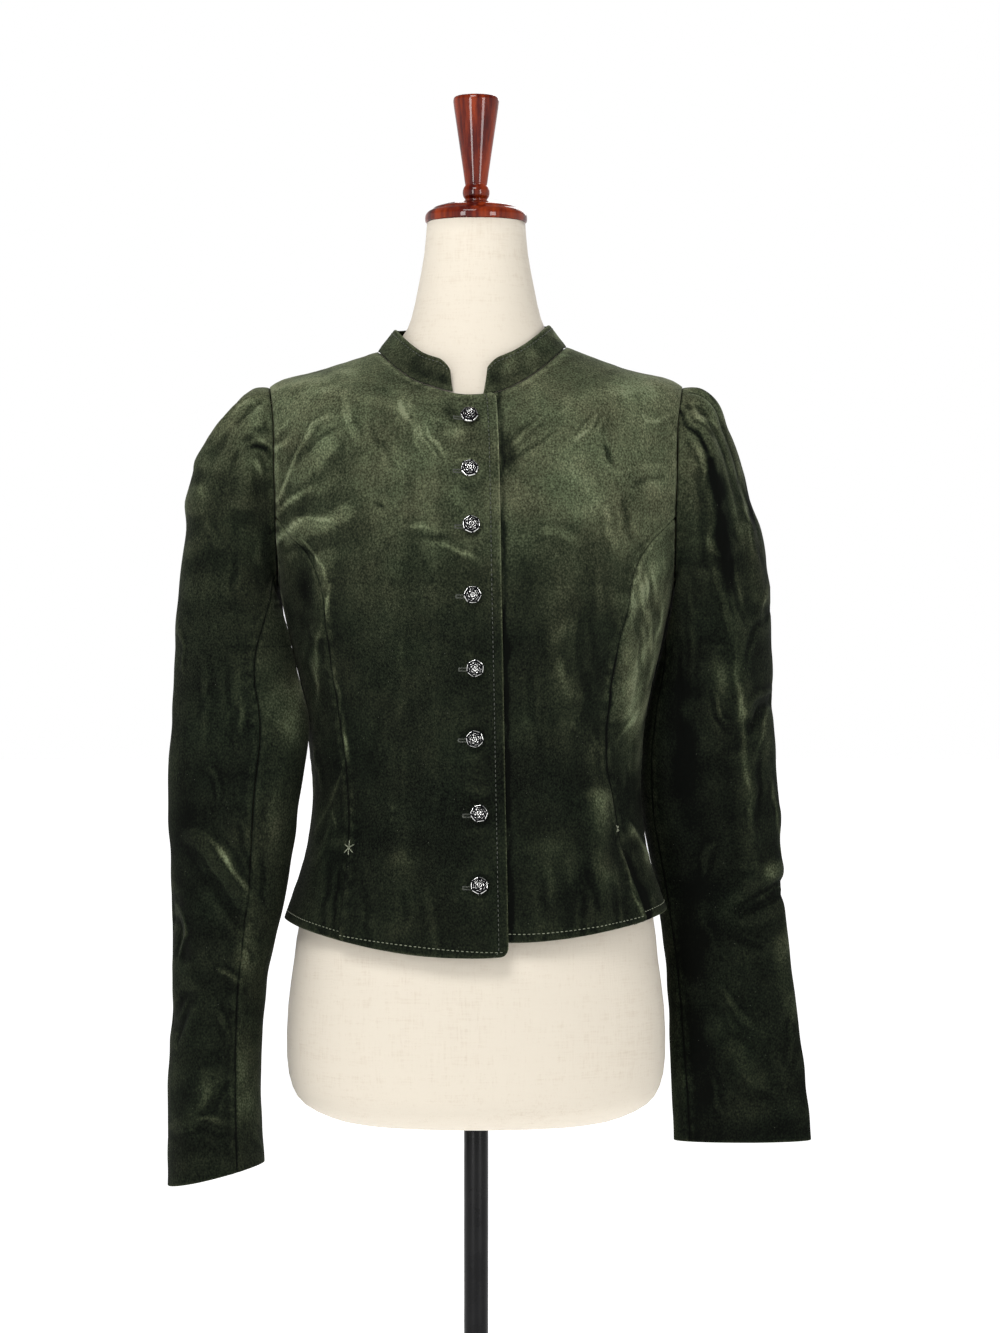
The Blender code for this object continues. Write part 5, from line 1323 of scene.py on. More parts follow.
def edge_distances(grid):
    """How far each point is, along the cloth, from the first and last columns and rows."""
    across = np.linalg.norm(np.diff(grid, axis=1), axis=-1)
    from_first = np.concatenate((np.zeros((len(grid), 1)), np.cumsum(across, axis=1)), axis=1)
    up = np.linalg.norm(np.diff(grid, axis=0), axis=-1)
    from_low = np.concatenate((np.zeros((1, grid.shape[1])), np.cumsum(up, axis=0)), axis=0)
    return {
        "first": from_first,
        "last": from_first[:, -1:] - from_first,
        "low": from_low,
        "high": from_low[-1:] - from_low,
    }


def edge_depths(distances, finish, stitched, points):
    """How far the edges draw the outer and inner faces in. finish tells each edge's kind."""
    outer = np.zeros(points.shape[:-1])
    inner = np.zeros(points.shape[:-1])
    for edge, kind in finish.items():
        distance = distances[edge]
        if kind == "free":
            outer += rounding(distance, EDGE_ROUND)
            inner -= rounding(distance, EDGE_ROUND)
        elif kind == "seam":
            outer += SEAM_ROLL * np.exp(-((distance / SEAM_REACH) ** 2))
            puff = SEAM_PUFF * np.exp(-(((distance - SEAM_PUFF_AT) / SEAM_PUFF_WIDTH) ** 2))
            pucker = PUCKER * waves(points, *PUCKER_WAVES) * np.exp(-((distance / PUCKER_REACH) ** 2))
            outer -= puff + pucker * smooth_step(0.0, 0.003, distance)
    for edge, distance in stitched:
        outer += STITCH_DIP * np.exp(-(((distances[edge] - distance) / STITCH_DIP_WIDTH) ** 2))
    return np.minimum(outer, EDGE_MOST), inner


def grid_triangles(index, points):
    """Two triangles for each cell of a grid of point numbers, split along the cell's shorter diagonal."""
    low, low_next = index[:-1, :-1].ravel(), index[:-1, 1:].ravel()
    high, high_next = index[1:, :-1].ravel(), index[1:, 1:].ravel()
    rising = np.linalg.norm(points[low] - points[high_next], axis=1)
    falling = np.linalg.norm(points[low_next] - points[high], axis=1)
    by_rising = np.stack([low, low_next, high_next, low, high_next, high], axis=1)
    by_falling = np.stack([low, low_next, high, low_next, high_next, high], axis=1)
    return np.where((rising <= falling)[:, None], by_rising, by_falling).reshape(-1, 3)


def grid_normals(grid):
    normal = np.cross(np.gradient(grid, axis=1), np.gradient(grid, axis=0))
    return normal / np.maximum(np.linalg.norm(normal, axis=-1, keepdims=True), 1e-12)


def place(name, mesh, materials, slot, *nodes):
    """Makes the mesh a piece that rides on the body and stands for its CAD nodes."""
    for material in materials:
        mesh.materials.append(material)
    obj = bpy.data.objects.new(name, mesh)
    bpy.context.scene.collection.objects.link(obj)
    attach(obj, "root")
    if nodes:
        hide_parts(*nodes)
    return obj


def mesh_of(name, points, faces):
    mesh = bpy.data.meshes.new(name)
    mesh.from_pydata(np.asarray(points, float).tolist(), [], [list(face) for face in faces])
    mesh.shade_smooth()
    return mesh


def tube_faces(rings, steps):
    """Faces of a closed tube, from rings of points that run down from its top."""
    faces = []
    for low in range(0, (rings - 1) * steps, steps):
        for side in range(steps):
            after = (side + 1) % steps
            faces.append((low + side, low + steps + side, low + steps + after, low + after))
    last = (rings - 1) * steps
    return faces + [tuple(range(steps)), tuple(range(last + steps - 1, last - 1, -1))]


def add_attribute(mesh, name, values):
    attribute = mesh.attributes.new(name, "FLOAT", "POINT")
    attribute.data.foreach_set("value", np.asarray(values, np.float32).ravel())


def relief(grid):
    """How far each point stands out of the cloth around it, by taking away a blurred copy of the grid."""
    blurred = grid.copy()
    for _ in range(RELIEF_STEPS):
        padded = np.pad(blurred, ((1, 1), (1, 1), (0, 0)), mode="reflect", reflect_type="odd")
        blurred = (padded[2:, 1:-1] + padded[:-2, 1:-1] + padded[1:-1, 2:] + padded[1:-1, :-2]) / 4
    return ((grid - blurred) * grid_normals(grid)).sum(axis=-1)


def nap_and_painted_light_of(grid, part, name, distances, finish):
    """How light the velvet is at each point: a drift down the cloth that is partly nap and partly painted
    light from above, marks of brushed nap and of painted light and shade, painted highlights on crests,
    free edges and seam puffs, and painted shade in troughs and along seams.
    """
    down = seen(grid)[1]
    # Lighter towards the top: partly the nap, partly painted light from above
    drift = SLEEVE_NAP_AND_PAINTED_TOP_LIGHT if part in SIDE_SIGN else BODY_NAP_AND_PAINTED_TOP_LIGHT
    value = np.interp(down, [row[0] for row in drift], [row[1] for row in drift])
    if part == "collar":
        value = np.full(down.shape, COLLAR_NAP)
    for table in sorted({part, name} & NAP_AND_PAINTED_LIGHT_MARKS.keys()):
        ahead = 1.0
        if part == "body" and name != "back":
            ahead = smooth_step(MARK_BLEND, -MARK_BLEND, grid[..., 1])
        value = value + marks(grid, NAP_AND_PAINTED_LIGHT_MARKS[table], MARK_WIDTH) * ahead
    # Painted highlight on fold crests and painted shade in troughs
    crests = np.clip(relief(grid) / CREST_RELIEF, *CREST_LIMITS)
    value = value + CREST_SHINE * crests * (CREST_BASE + value)
    # Painted highlight along free edges and on the puff beside each seam, painted shade along seams
    for edge, kind in finish.items():
        distance = distances[edge]
        if kind == "free":
            value = value + EDGE_SHINE * np.exp(-((distance / EDGE_SHINE_WIDTH) ** 2))
        else:
            value = value - SEAM_SHADE * np.exp(-((distance / SEAM_SHADE_WIDTH) ** 2))
            value = value + PUFF_SHINE * np.exp(-(((distance - PUFF_SHINE_AT) / PUFF_SHINE_WIDTH) ** 2))
    return value + NAP_UNEVEN * waves(grid, *NAP_WAVES)


def cloth(name, grid_at, part, finish, stitched, flat, area, rests_on, looks, flip=False, wall=WALL):
    """A sheet of velvet with a lining face, over the CAD node of the same name. Returns its outer grid."""
    plain = grid_at(0.0)
    distances = edge_distances(plain)
    sink, inset = edge_depths(distances, finish, stitched, plain)
    outer, inner = grid_at(sink), grid_at(wall + inset)
    if flip:
        outer, inner = outer[:, ::-1], inner[:, ::-1]
        distances = {edge: values[:, ::-1] for edge, values in distances.items()}
    nap_and_painted_light = nap_and_painted_light_of(outer, part, name, distances, finish)
    rows, columns = outer.shape[:2]
    count = rows * columns
    index = np.arange(count).reshape(rows, columns)
    rim = np.concatenate((index[0, :-1], index[:-1, -1], index[-1, :0:-1], index[:0:-1, 0]))
    rim = np.append(rim, rim[0])
    points = np.concatenate((outer.reshape(-1, 3), inner.reshape(-1, 3)))
    skin = grid_triangles(index, points)
    edge = grid_triangles(np.stack([rim + count, rim]), points)
    mesh = mesh_of(f"velvet_{name}", points, np.concatenate((skin, skin[:, ::-1] + count, edge)))
    slots = np.zeros(2 * len(skin) + len(edge), np.int32)
    room = np.min([distances[edge] - FACING[kind] for edge, kind in finish.items()], axis=0)
    slots[len(skin) : 2 * len(skin)] = room.ravel()[skin].mean(axis=1) > 0
    mesh.polygons.foreach_set("material_index", slots)
    # The inner face keeps only a share of this value: painted shade inside the jacket
    add_attribute(mesh, "nap_and_painted_light", np.concatenate((nap_and_painted_light.ravel(), nap_and_painted_light.ravel() * INSIDE_PAINTED_SHADE_SHARE)))
    obj = place(mesh.name, mesh, looks, "velvet", name)
    return outer, distances


def edge_line(grid, distances, edge, offset):
    """The line on the cloth at a distance from one of its edges, and the cloth's normals along it."""
    normals, far = grid_normals(grid), distances[edge]
    if edge in ("low", "high"):
        grid, normals, far = (np.swapaxes(values, 0, 1) for values in (grid, normals, far))
    line, ways = [], []
    for points, normal, distance in zip(grid, normals, far):
        order = np.argsort(distance)
        line.append([np.interp(offset, distance[order], points[order, k]) for k in range(3)])
        ways.append([np.interp(offset, distance[order], normal[order, k]) for k in range(3)])
    return np.array(line), np.array(ways)


def stitch_places(line, normals):
    """Centres, directions and normals of the stitches that fit along a line."""
    length = np.concatenate(([0.0], np.cumsum(np.linalg.norm(np.diff(line, axis=0), axis=1))))
    middles = np.arange(STITCH_LENGTH, length[-1] - STITCH_LENGTH, STITCH_LENGTH + STITCH_SPACE)

    def along(values, move=0.0):
        return np.stack([np.interp(middles + move, length, values[:, k]) for k in range(3)], 1)

    return along(line), along(line, 0.001) - along(line, -0.001), along(normals)


def stitch_mesh(centres, ways, normals, length, radius):
    """Points and faces of rounded stitches whose ends go into the cloth."""
    ways = ways / np.linalg.norm(ways, axis=1, keepdims=True)
    aside = np.cross(normals, ways)
    aside /= np.linalg.norm(aside, axis=1, keepdims=True)
    sides = 5
    turn = np.arange(sides) * 2 * np.pi / sides
    length = np.broadcast_to(length, len(centres))[:, None]
    rings = []
    for share, size, lift in ((-0.5, 0.45, -0.8), (-0.3, 1.0, 0.25), (0.3, 1.0, 0.25), (0.5, 0.45, -0.8)):
        middle = centres + ways * length * share + normals * radius * lift
        ring = middle[:, None] + radius * size * (
            np.cos(turn)[None, :, None] * aside[:, None] + np.sin(turn)[None, :, None] * normals[:, None]
        )
        rings.append(ring)
    points = np.stack(rings, axis=1).reshape(-1, 3)
    tube = tube_faces(len(rings), sides)
    firsts = range(0, len(points), len(rings) * sides)
    return points, [tuple(first + corner for corner in face) for first in firsts for face in tube]


def add_stitches(name, groups, thread):
    """One piece of many stitches. groups holds (centres, directions, normals, length, radius)."""
    points, faces, count = [], [], 0
    for centres, ways, normals, length, radius in groups:
        some, theirs = stitch_mesh(centres, ways, normals, length, radius)
        points.append(some)
        faces += [tuple(corner + count for corner in face) for face in theirs]
        count += len(some)
    place(name, mesh_of(name, np.concatenate(points), faces), [thread], "velvet")


def right_front_point(x, level):
    """A point of the right front's face at a distance from the centre, at a level."""
    angle = angle_at_x(x, level)
    return body_surface(angle, level, closure_lift(body_base(angle, level)[..., 0]))


def level_at_height(height):
    """The level whose centre front is at a height."""
    levels = np.linspace(HEM, NECK, 400)
    return float(np.interp(height, body_base(np.zeros(400), levels)[:, 2], levels))


def buttonhole(height, x):
    """The wraps down both sides of a buttonhole, and the bar at its end."""
    level = level_at_height(height - HOLE_DROP)
    along = np.arange(x - HOLE_LENGTH + HOLE_PAST, x + HOLE_PAST, HOLE_SPACE)
    level = np.full(len(along), level)
    middle = right_front_point(along, level)
    up = right_front_point(along, level + 0.02) - right_front_point(along, level - 0.02)
    side = right_front_point(along + 0.0005, level) - right_front_point(along - 0.0005, level)
    up /= np.linalg.norm(up, axis=1, keepdims=True)
    normal = np.cross(side, up)
    normal /= np.linalg.norm(normal, axis=1, keepdims=True)
    centres = np.concatenate([middle + up * HOLE_SIDE, middle - up * HOLE_SIDE])
    wraps = (centres, np.tile(up, (2, 1)), np.tile(normal, (2, 1)), HOLE_WRAP, HOLE_RADIUS)
    ends = middle[:1] - side[:1] / np.linalg.norm(side[:1]) * np.array(BAR_PLACES)[:, None]
    bar_length = 2 * HOLE_SIDE + HOLE_WRAP
    bar = (ends, np.tile(up[:1], (2, 1)), np.tile(normal[:1], (2, 1)), bar_length, BAR_RADIUS)
    return [wraps, bar]


def star(grid, at, arms):
    """Long stitches out from the point of the cloth that the camera sees at a pixel."""
    across, down = seen(grid)
    away = (across - at[0]) ** 2 + (down - at[1]) ** 2
    where = np.argmin(np.where(grid[..., 1] > STAR_BEHIND, np.inf, away))
    point = grid.reshape(-1, 3)[where]
    near = np.linalg.norm(grid - point, axis=-1) < STAR_AROUND
    normal = grid_normals(grid)[near].mean(axis=0)
    normal /= np.linalg.norm(normal)
    side = np.cross([0.0, 0.0, 1.0], normal)
    side /= np.linalg.norm(side)
    up = np.cross(normal, side)
    turns = np.radians([turn for turn, _ in arms])
    ways = np.cos(turns)[:, None] * side + np.sin(turns)[:, None] * up
    lengths = np.array([length for _, length in arms])
    centres = point + normal * STAR_LIFT + ways * (STAR_INSIDE + lengths[:, None] / 2)
    return centres, ways, np.tile(normal, (len(arms), 1)), lengths, STAR_RADIUS


def petal_edge(radius, petals, turn, depth, around):
    """The radius of a ring of petals round the button."""
    return radius * (1 - depth * (1 - np.abs(np.cos(petals * (around - turn) / 2))))


def rosette():
    """A domed button with a facetted rim and rings of petals: its points, faces and darkness, which is the
    depth in a recess on its face and a dark tone under it.
    """
    around = np.arange(BUTTON_STEPS) * 2 * np.pi / BUTTON_STEPS
    share = np.concatenate(([0.02], np.linspace(0.06, 1.0, 36)))[:, None]
    facet = np.abs(((around / (np.pi / 3)) % 1.0) - 0.5) * np.pi / 3
    rim = BUTTON_RADIUS * np.cos(np.pi / 6) / np.cos(np.pi / 6 - facet) ** 0.6 * 1.07
    rim = np.minimum(rim, BUTTON_RADIUS * 1.02)
    radius = share * rim
    height = BUTTON_RIM + BUTTON_DOME * (1 - share**2) ** 0.7 + 0.0 * radius
    recess = np.zeros(radius.shape)
    for size, petals, turn, depth, step, width in BUTTON_PETALS:
        swirl = turn + PETAL_SWIRL * share
        edge = petal_edge(size, petals, swirl, depth, around)
        height = height + step * smooth_step(edge + 0.02, edge - 0.03, share)
        groove = np.exp(-(((share - edge) / width) ** 2))
        height = height - PETAL_GROOVE * groove
        crest = np.exp(-(((share - edge + 1.9 * width) / width) ** 2))
        height = height + PETAL_CREST * crest
        recess = np.maximum(recess * (1 - crest), groove)
    notch = np.exp(-((facet / 0.07) ** 2)) * (share > 0.86)
    veins = np.abs(np.sin(5 * around + 6 * share)) ** 10 * (share > 0.25) * (share < 0.8)
    recess = np.clip(recess + 0.45 * veins + 0.7 * notch, 0.0, 1.0)
    height[-1] = BUTTON_EDGE
    height[-2] = (height[-2] + BUTTON_EDGE) / 2
    flat = np.stack([radius * np.cos(around), radius * np.sin(around), height], axis=-1)
    rim = np.stack([rim * np.cos(around), rim * np.sin(around), np.zeros(BUTTON_STEPS)], axis=-1)
    under = [rim * size + np.array([0.0, 0.0, z]) for size, z in BUTTON_UNDER]
    grid = np.concatenate((flat, under))
    recess = np.concatenate((recess, np.full((len(BUTTON_UNDER), BUTTON_STEPS), UNDERSIDE_DARKNESS)))
    return grid.reshape(-1, 3), tube_faces(len(grid), BUTTON_STEPS), recess.ravel()


def add_buttons(silver):
    shape, faces, recess = rosette()
    for number, (height, x) in enumerate(BUTTONS, start=1):
        level = np.array(level_at_height(height))
        angle = angle_at_x(x, level)
        seat = body_surface(angle, level, LAYER + BUTTON_STANDOFF)
        normal = body_normals(angle, level)
        spin = Matrix.Rotation(BUTTON_TURN * number, 3, "Z")
        turn = Vector(normal).to_track_quat("Z", "Y").to_matrix() @ spin
        mesh = mesh_of(f"rosette_button_{number}", shape @ np.array(turn).T + seat, faces)
        add_attribute(mesh, "recess", recess)
        place(mesh.name, mesh, [silver], "antique_silver", f"button_{number}")


def rounded_profile(profile, radius, steps=6):
    """The profile with its corners rounded."""
    points = [np.array(point, float) for point in profile]
    line = [points[0]]
    for before, corner, after in zip(points, points[1:], points[2:]):
        reach = [min(radius, 0.45 * np.linalg.norm(other - corner)) for other in (before, after)]
        start = corner + (before - corner) / np.linalg.norm(before - corner) * reach[0]
        finish = corner + (after - corner) / np.linalg.norm(after - corner) * reach[1]
        for share in np.linspace(0, 1, steps):
            line.append((1 - share) ** 2 * start + 2 * share * (1 - share) * corner + share**2 * finish)
    line.append(points[-1])
    return line


def turned(name, profile, material, slot, *nodes):
    """A finely turned piece, from a profile of radius and height down its outer side."""
    around = np.arange(TURNED_FINE) * 2 * np.pi / TURNED_FINE
    inside = [point for point in profile if point[0] > 1e-6]
    points = [(r * np.cos(a), r * np.sin(a), z) for r, z in inside for a in around]
    mesh = mesh_of(name, points, tube_faces(len(inside), TURNED_FINE))
    mesh.set_sharp_from_angle(angle=radians(TURNED_SHARP))
    return place(name, mesh, [material], slot, *nodes)


def form_ring(table, level, angles):
    """A ring of the form's hips or neck."""
    values = {name: column(table, FORM_COLUMNS, name, level) for name in FORM_COLUMNS}
    turn = np.radians(angles)
    x, y = rounded_section(turn, values["half_width"], values["front"], values["back"], FORM_SQUARENESS)
    facing = np.cos(turn)
    rise = np.where(facing > 0, values["front_rise"], values["back_rise"])
    return np.stack([x, y, values["z"] + rise * facing**2], axis=-1)


def form_body_ring(level, angles):
    """A ring of the form inside the jacket, which stops at a flat plate in each armhole."""
    levels = np.full(angles.shape, float(level))
    points = body_base(angles, levels)
    normals = body_normals(angles, np.clip(levels, NORMAL_STEPS[1], NECK - NORMAL_STEPS[1]))
    points = points - normals * (WALL + body_column("ease", levels))[..., None]
    reach = np.abs(points[..., 0]) - (ARM_PLATE_X - ARM_PLATE_SOFT)
    eased = ARM_PLATE_SOFT * np.tanh(np.clip(reach, 0.0, None) / ARM_PLATE_SOFT)
    points[..., 0] -= np.sign(points[..., 0]) * (np.clip(reach, 0.0, None) - eased)
    return points


def add_form(linen):
    """The limbless form in one closed skin, smooth between the CAD's rings."""
    angles = np.arange(FORM_ROUND) * 360.0 / FORM_ROUND
    rings = [form_ring(FORM_HIPS, row, angles) for row in range(len(FORM_HIPS))]
    rings += [form_body_ring(level, angles) for level in FORM_LEVELS]
    rings += [form_ring(FORM_NECK, row, angles) for row in range(len(FORM_NECK))]
    rings = np.array(rings)
    at = np.linspace(0, len(rings) - 1, (len(rings) - 1) * FORM_STEPS + 1)
    grid = smooth_through(rings, at)
    faces = [face[::-1] for face in tube_faces(len(grid), FORM_ROUND)]
    place("linen_form", mesh_of("linen_form", grid.reshape(-1, 3), faces), [linen], "linen", "dress_form")


def add_stand(wood, metal):
    turned("polished_cap", rounded_profile(CAP_FINE, CAP_ROUND), wood, "polished_wood", "neck_cap")
    turned("polished_finial", rounded_profile(FINIAL_FINE, FINIAL_ROUND), wood, "polished_wood", "finial")
    high, low = FORM_HIPS["underside"][0] - TOUCH, HUB_HEIGHT + TOUCH
    pole = [(0.0, high), (POLE_RADIUS, high), (POLE_RADIUS, low), (0.0, low)]
    turned("satin_pole", rounded_profile(pole, POLE_ROUND), metal, "black_metal", "pole")
    base = [
        (0.0, HUB_HEIGHT),
        (HUB_RADIUS - HUB_BEVEL, HUB_HEIGHT),
        (HUB_RADIUS, HUB_HEIGHT - HUB_BEVEL),
        (HUB_RADIUS, BASE_THICK + HUB_FOOT),
        (HUB_RADIUS + HUB_FOOT, BASE_THICK),
        (BASE_RADIUS - BASE_BEVEL, BASE_THICK),
        (BASE_RADIUS, BASE_THICK - BASE_BEVEL),
        (BASE_RADIUS, 0.0),
        (0.0, 0.0),
    ]
    turned("round_base", rounded_profile(base, BASE_ROUND), metal, "black_metal", "base")


class Look:
    """A Principled material that is put together from named nodes."""

    def __init__(self, name, colour, roughness, **settings):
        self.material = bpy.data.materials.new(name)
        self.material.use_nodes = True
        self.tree = self.material.node_tree
        self.shader = self.tree.nodes["Principled BSDF"]
        self.set(self.shader, {"Base Color": (*colour, 1.0), "Roughness": roughness, **settings})
        self.material.diffuse_color = (*colour, 1.0)

    def set(self, node, values):
        for socket, value in values.items():
            if isinstance(value, bpy.types.NodeSocket):
                self.tree.links.new(value, node.inputs[socket])
            else:
                node.inputs[socket].default_value = value

    def add(self, kind, inputs=None, out=0, **options):
        node = self.tree.nodes.new(kind)
        for option, value in options.items():
            setattr(node, option, value)
        self.set(node, inputs or {})
        return node.outputs[out]

    def place(self, scale):
        """Object coordinates, stretched by the scale along each axis."""
        coordinates = self.add("ShaderNodeTexCoord", out=3)
        return self.add("ShaderNodeMapping", {"Vector": coordinates, "Scale": scale})

    def noise(self, scale, detail=3.0, roughness=0.55, stretch=(1.0, 1.0, 1.0)):
        inputs = {"Vector": self.place(stretch), "Scale": scale, "Detail": detail, "Roughness": roughness}
        return self.add("ShaderNodeTexNoise", inputs)

    def math(self, operation, first, second=0.0, third=0.0):
        return self.add("ShaderNodeMath", {0: first, 1: second, 2: third}, operation=operation)

    def attribute(self, name):
        return self.add("ShaderNodeAttribute", out=2, attribute_name=name)

    def ramp(self, value, stops):
        node = self.tree.nodes.new("ShaderNodeValToRGB")
        self.tree.links.new(value, node.inputs[0])
        while len(node.color_ramp.elements) < len(stops):
            node.color_ramp.elements.new(0.5)
        for element, (at, colour) in zip(node.color_ramp.elements, stops):
            element.position = at
            element.color = (*colour, 1.0)
        return node.outputs[0]

    def mix(self, share, first, second, blend="MIX"):
        inputs = {0: share, 6: first, 7: second}
        return self.add("ShaderNodeMix", inputs, out=2, data_type="RGBA", blend_type=blend)

    def bump(self, height, strength, distance, under=None):
        inputs = {"Height": height, "Strength": strength, "Distance": distance}
        if under is not None:
            inputs["Normal"] = under
        return self.add("ShaderNodeBump", inputs)


def velvet_look():
    """Cotton velvet: the attribute of nap and painted light, with mottling, chooses between dark and light
    green, for crushed and brushed nap and for painted shade and highlight.
    """
    look = Look("cotton velvet", (0.03, 0.04, 0.02), 0.95, **{"Specular IOR Level": 0.05})
    value = look.attribute("nap_and_painted_light")
    for scale, rough, strength, detail, stretch in (
        (34.0, 0.62, 0.22, 9.0, (1.0, 1.0, 0.75)),
        (110.0, 0.60, 0.16, 6.0, (1.0, 1.0, 0.5)),
        (700.0, 0.50, 0.60, 2.0, (1.0, 1.0, 0.8)),
    ):
        mottle = look.noise(scale, detail, rough, stretch)
        swing = look.math("MULTIPLY_ADD", mottle, strength * 2, -strength)
        swing = look.math("MULTIPLY", swing, look.math("ADD", look.attribute("nap_and_painted_light"), 0.35))
        value = look.math("ADD", value, swing)
    colour = look.ramp(value, VELVET_STOPS)
    tint = look.ramp(look.noise(20.0, 8.0, 0.65), ((0.36, (0.95, 1.03, 0.98)), (0.64, (1.05, 1.00, 0.98))))
    colour = look.mix(1.0, colour, tint, "MULTIPLY")
    cells = look.add("ShaderNodeTexVoronoi", {"Vector": look.place((1, 1, 1)), "Scale": 150.0}, out=0)
    speck = look.math("LESS_THAN", cells, 0.050)
    some = look.math("GREATER_THAN", look.noise(60.0, 1.0), 0.50)
    lint = look.math("MULTIPLY", speck, look.math("MULTIPLY", some, 0.35))
    colour = look.mix(lint, colour, (0.16, 0.17, 0.13, 1))
    sheen = look.ramp(value, ((0.10, (0.01, 0.01, 0.01)), (0.90, (0.22, 0.22, 0.22))))
    pile = look.bump(look.noise(1700.0, 2.0), 0.40, 0.0004)
    crush = look.bump(look.noise(300.0, 4.0, stretch=(1.0, 1.0, 0.6)), 0.22, 0.0006, pile)
    look.set(look.shader, {
        "Base Color": colour,
        "Normal": crush,
        "Sheen Weight": sheen,
        "Sheen Roughness": 0.40,
        "Sheen Tint": (0.70, 0.76, 0.54, 1.0),
    })
    return look.material


def lining_look():
    """Brown satin lining with a fine twill."""
    look = Look("satin lining", (0.16, 0.11, 0.06), 0.42, **{"Specular IOR Level": 0.4})
    inputs = {"Vector": look.place((1, 1, 1)), "Scale": 420.0, "Distortion": 1.5}
    twill = look.add("ShaderNodeTexWave", inputs, out=1)
    colour = look.ramp(look.noise(30.0), ((0.3, (0.13, 0.09, 0.05)), (0.7, (0.20, 0.14, 0.08))))
    look.set(look.shader, {"Base Color": colour, "Normal": look.bump(twill, 0.2, 0.0003)})
    return look.material


def linen_look():
    """Undyed linen: a plain weave of uneven threads with darker slubs."""
    look = Look("undyed linen", (0.62, 0.57, 0.48), 0.9, **{"Sheen Weight": 0.1, "Specular IOR Level": 0.2})

    def threads(scale, detail, thin):
        across = look.noise(scale, detail, stretch=(thin, thin, 1.0))
        return look.math("ADD", across, look.noise(scale, detail, stretch=(1.0, 1.0, thin)))

    weave, slubs = threads(700.0, 2.0, 0.10), threads(120.0, 3.0, 0.08)
    tone = look.math("MULTIPLY_ADD", weave, 0.5, look.math("MULTIPLY", slubs, 0.30))
    tone = look.math("ADD", tone, look.math("MULTIPLY_ADD", look.noise(9.0, 3.0), 0.25, -0.125))
    colour = look.ramp(tone, LINEN_STOPS)
    bump = look.bump(weave, 0.35, 0.0004)
    look.set(look.shader, {"Base Color": colour, "Normal": bump})
    return look.material


def wood_look():
    """Red-brown turned wood under clear lacquer."""
    lacquer = {"Coat Weight": 0.45, "Coat Roughness": 0.03, "Specular IOR Level": 0.02}
    look = Look("polished wood", (0.20, 0.025, 0.010), 0.50, **lacquer)
    grain = look.noise(16.0, 5.0, stretch=(3.2, 3.2, 0.35))
    pores = look.noise(260.0, 2.0, stretch=(1.0, 1.0, 0.06))
    tone = look.math("MULTIPLY_ADD", pores, 0.30, look.math("MULTIPLY", grain, 0.85))
    colour = look.ramp(tone, WOOD_STOPS)
    look.set(look.shader, {"Base Color": colour, "Normal": look.bump(pores, 0.08, 0.0003)})
    return look.material


def metal_look():
    """Black enamel with a slightly uneven gloss."""
    look = Look("black metal", (0.004, 0.004, 0.0045), 0.30, **{"Specular IOR Level": 0.14})
    worn = look.ramp(look.noise(60.0, 4.0), ((0.3, (0.22, 0.22, 0.22)), (0.75, (0.40, 0.40, 0.40))))
    tone = look.ramp(look.noise(25.0, 4.0), ((0.3, (0.003, 0.003, 0.0035)), (0.8, (0.008, 0.008, 0.0085))))
    fine = look.bump(look.noise(900.0, 2.0), 0.06, 0.0002)
    look.set(look.shader, {"Base Color": tone, "Roughness": worn, "Normal": fine})
    return look.material


def silver_look():
    """Antiqued metal: bright on the petals' edges and dark in the recesses."""
    look = Look("antique silver", (0.6, 0.6, 0.6), 0.3, **{"Metallic": 1.0})
    tone = look.math("MULTIPLY_ADD", look.noise(900.0, 3.0), 0.3, look.attribute("recess"))
    colour = look.ramp(tone, SILVER_STOPS)
    rough = look.ramp(tone, ((0.2, (0.18, 0.18, 0.18)), (0.8, (0.60, 0.60, 0.60))))
    look.set(look.shader, {"Base Color": colour, "Roughness": rough})
    return look.material


def thread_look(name, stops):
    look = Look(name, (0.12, 0.14, 0.08), 0.6, **{"Sheen Weight": 0.15})
    colour = look.ramp(look.noise(500.0, 2.0), stops)
    look.set(look.shader, {"Base Color": colour, "Normal": look.bump(look.noise(3000.0, 1.0), 0.3, 0.0002)})
    return look.material


def add_camera():
    data = bpy.data.cameras.new("camera")
    data.lens = data.sensor_width * -CAMERA[1] / VIEW_HEIGHT
    camera = bpy.data.objects.new("camera", data)
    camera.location = CAMERA
    camera.rotation_euler = (radians(90), 0.0, 0.0)
    bpy.context.scene.collection.objects.link(camera)
    bpy.context.scene.camera = camera


def add_light(name, place_at, target, size, power, matt):
    data = bpy.data.lights.new(name, "AREA")
    data.shape, data.size, data.size_y = "RECTANGLE", *size
    data.energy = power
    light = bpy.data.objects.new(name, data)
    light.visible_diffuse = matt
    light.location = place_at
    light.rotation_euler = (Vector(target) - Vector(place_at)).to_track_quat("-Z", "Y").to_euler()
    bpy.context.scene.collection.objects.link(light)


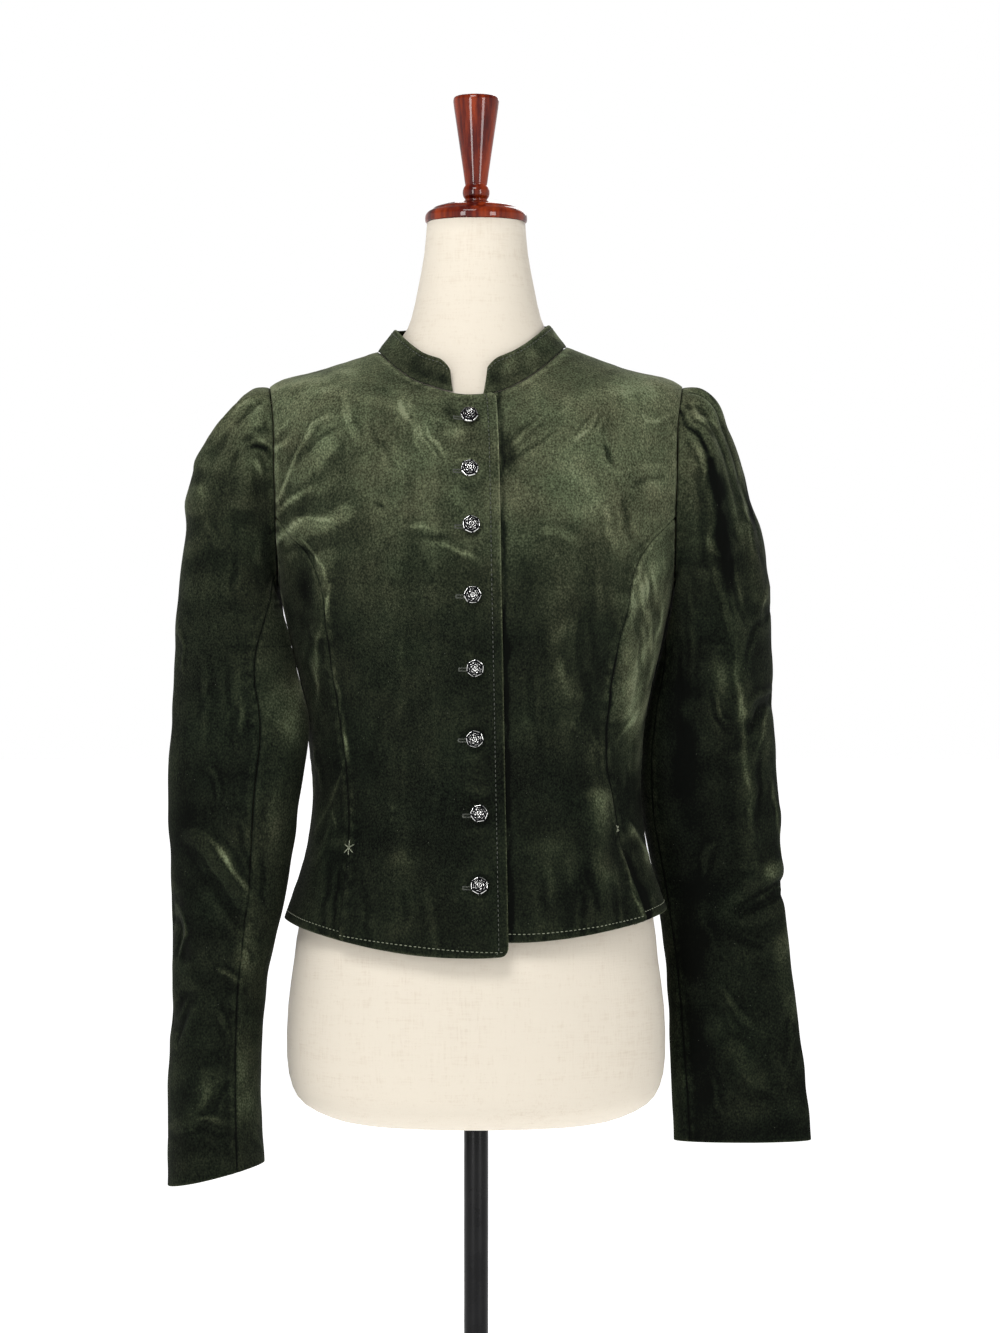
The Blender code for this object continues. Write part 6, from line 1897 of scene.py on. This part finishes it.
def add_studio():
    """A white floor that meets a world which is white at eye level and dimmer above."""
    around = np.arange(FLOOR_SIDES) * 2 * np.pi / FLOOR_SIDES
    points = [(FLOOR_RADIUS * np.cos(a), FLOOR_RADIUS * np.sin(a), FLOOR_HEIGHT) for a in around]
    floor = bpy.data.objects.new("floor", mesh_of("floor", points, [tuple(range(FLOOR_SIDES))]))
    bpy.context.scene.collection.objects.link(floor)
    glow = {"Emission Color": (1, 1, 1, 1), "Emission Strength": 0.80}
    look = Look("white floor", (0.9, 0.9, 0.9), 0.8, **glow)
    floor.data.materials.append(look.material)
    world = bpy.data.worlds.new("studio")
    bpy.context.scene.world = world
    world.use_nodes = True
    tree = world.node_tree
    way = tree.nodes.new("ShaderNodeTexCoord").outputs["Generated"]
    split = tree.nodes.new("ShaderNodeSeparateXYZ")
    ramp = tree.nodes.new("ShaderNodeValToRGB")
    for element, (at, value) in zip(ramp.color_ramp.elements, WORLD_STOPS):
        element.position, element.color = at, (value, value, value, 1.0)
    tree.links.new(way, split.inputs[0])
    tree.links.new(split.outputs["Z"], ramp.inputs[0])
    tree.links.new(ramp.outputs[0], tree.nodes["Background"].inputs["Color"])
    for light in LIGHTS:
        add_light(*light)
    bpy.context.scene.view_settings.view_transform = "Standard"


def edge_kinds(kinds):
    """The kinds of a sheet's four edges: seam or free, at its first and last column, foot and top."""
    return dict(zip(("first", "last", "low", "high"), kinds.split()))


def add_jacket(velvet, lining, light, dark):
    """All the panels, with their topstitching, buttonholes and tacks."""
    looks, form = [velvet, lining], ["dress_form"]
    hem, placket, top = ("low", HEM_OFFSET), ("last", PLACKET_OFFSET), ("high", COLLAR_OFFSET)
    panels = {}
    for name, grid_at, kinds, stitched in (
        ("front_right", right_front_grid, "seam free free seam", (placket, hem)),
        ("front_left", left_front_grid, "free seam free seam", (hem,)),
        ("back", back_grid, "seam seam free seam", (hem,)),
    ):
        panels[name] = cloth(name, grid_at, "body", edge_kinds(kinds), stitched, *FLAT[name], form, looks)
    collar = cloth(
        "collar", collar_grid, "collar", edge_kinds("free free seam free"), (top,),
        *FLAT["collar"], ["front_right", "front_left", "back"], looks, wall=COLLAR_WALL,
    )
    hems = [edge_line(*panel, *hem) for panel in panels.values()]
    edges = [edge_line(*panels["front_right"], *placket), edge_line(*collar, *top)]
    for side in SIDE_SIGN:
        flip = side == "right"
        name = f"side_front_{side}"
        panel = cloth(
            name, partial(side_front_grid, side), "body", edge_kinds("seam seam free seam"), (hem,),
            *FLAT[name], form, looks, flip=flip,
        )
        hems.append(edge_line(*panel, *hem))
        for kind, grid_at in (("top", top_sleeve_grid), ("under", under_sleeve_grid)):
            name = f"{kind}_sleeve_{side}"
            cloth(
                name, partial(grid_at, side), side, edge_kinds("seam seam seam free"), (),
                *FLAT[name], [f"front_{side}", "back"], looks, flip=flip,
            )
    for name, lines, thread in (("hem_stitches", hems, light), ("edge_stitches", edges, dark)):
        groups = [(*stitch_places(*line), STITCH_LENGTH, STITCH_RADIUS) for line in lines]
        add_stitches(name, groups, thread)
    holes = [group for height, x in BUTTONS for group in buttonhole(height, x)]
    add_stitches("buttonhole_stitches", holes, dark)
    stars = (("right", STAR_RIGHT), ("left", STAR_LEFT))
    tacks = [star(panels[f"front_{side}"][0], at, STAR_ARMS[side]) for side, at in stars]
    add_stitches("star_tacks", tacks, light)


def main():
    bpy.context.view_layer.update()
    add_camera()
    add_studio()
    add_form(linen_look())
    add_stand(wood_look(), metal_look())
    threads = thread_look("light thread", LIGHT_THREAD), thread_look("dark thread", DARK_THREAD)
    add_jacket(velvet_look(), lining_look(), *threads)
    add_buttons(silver_look())


main()
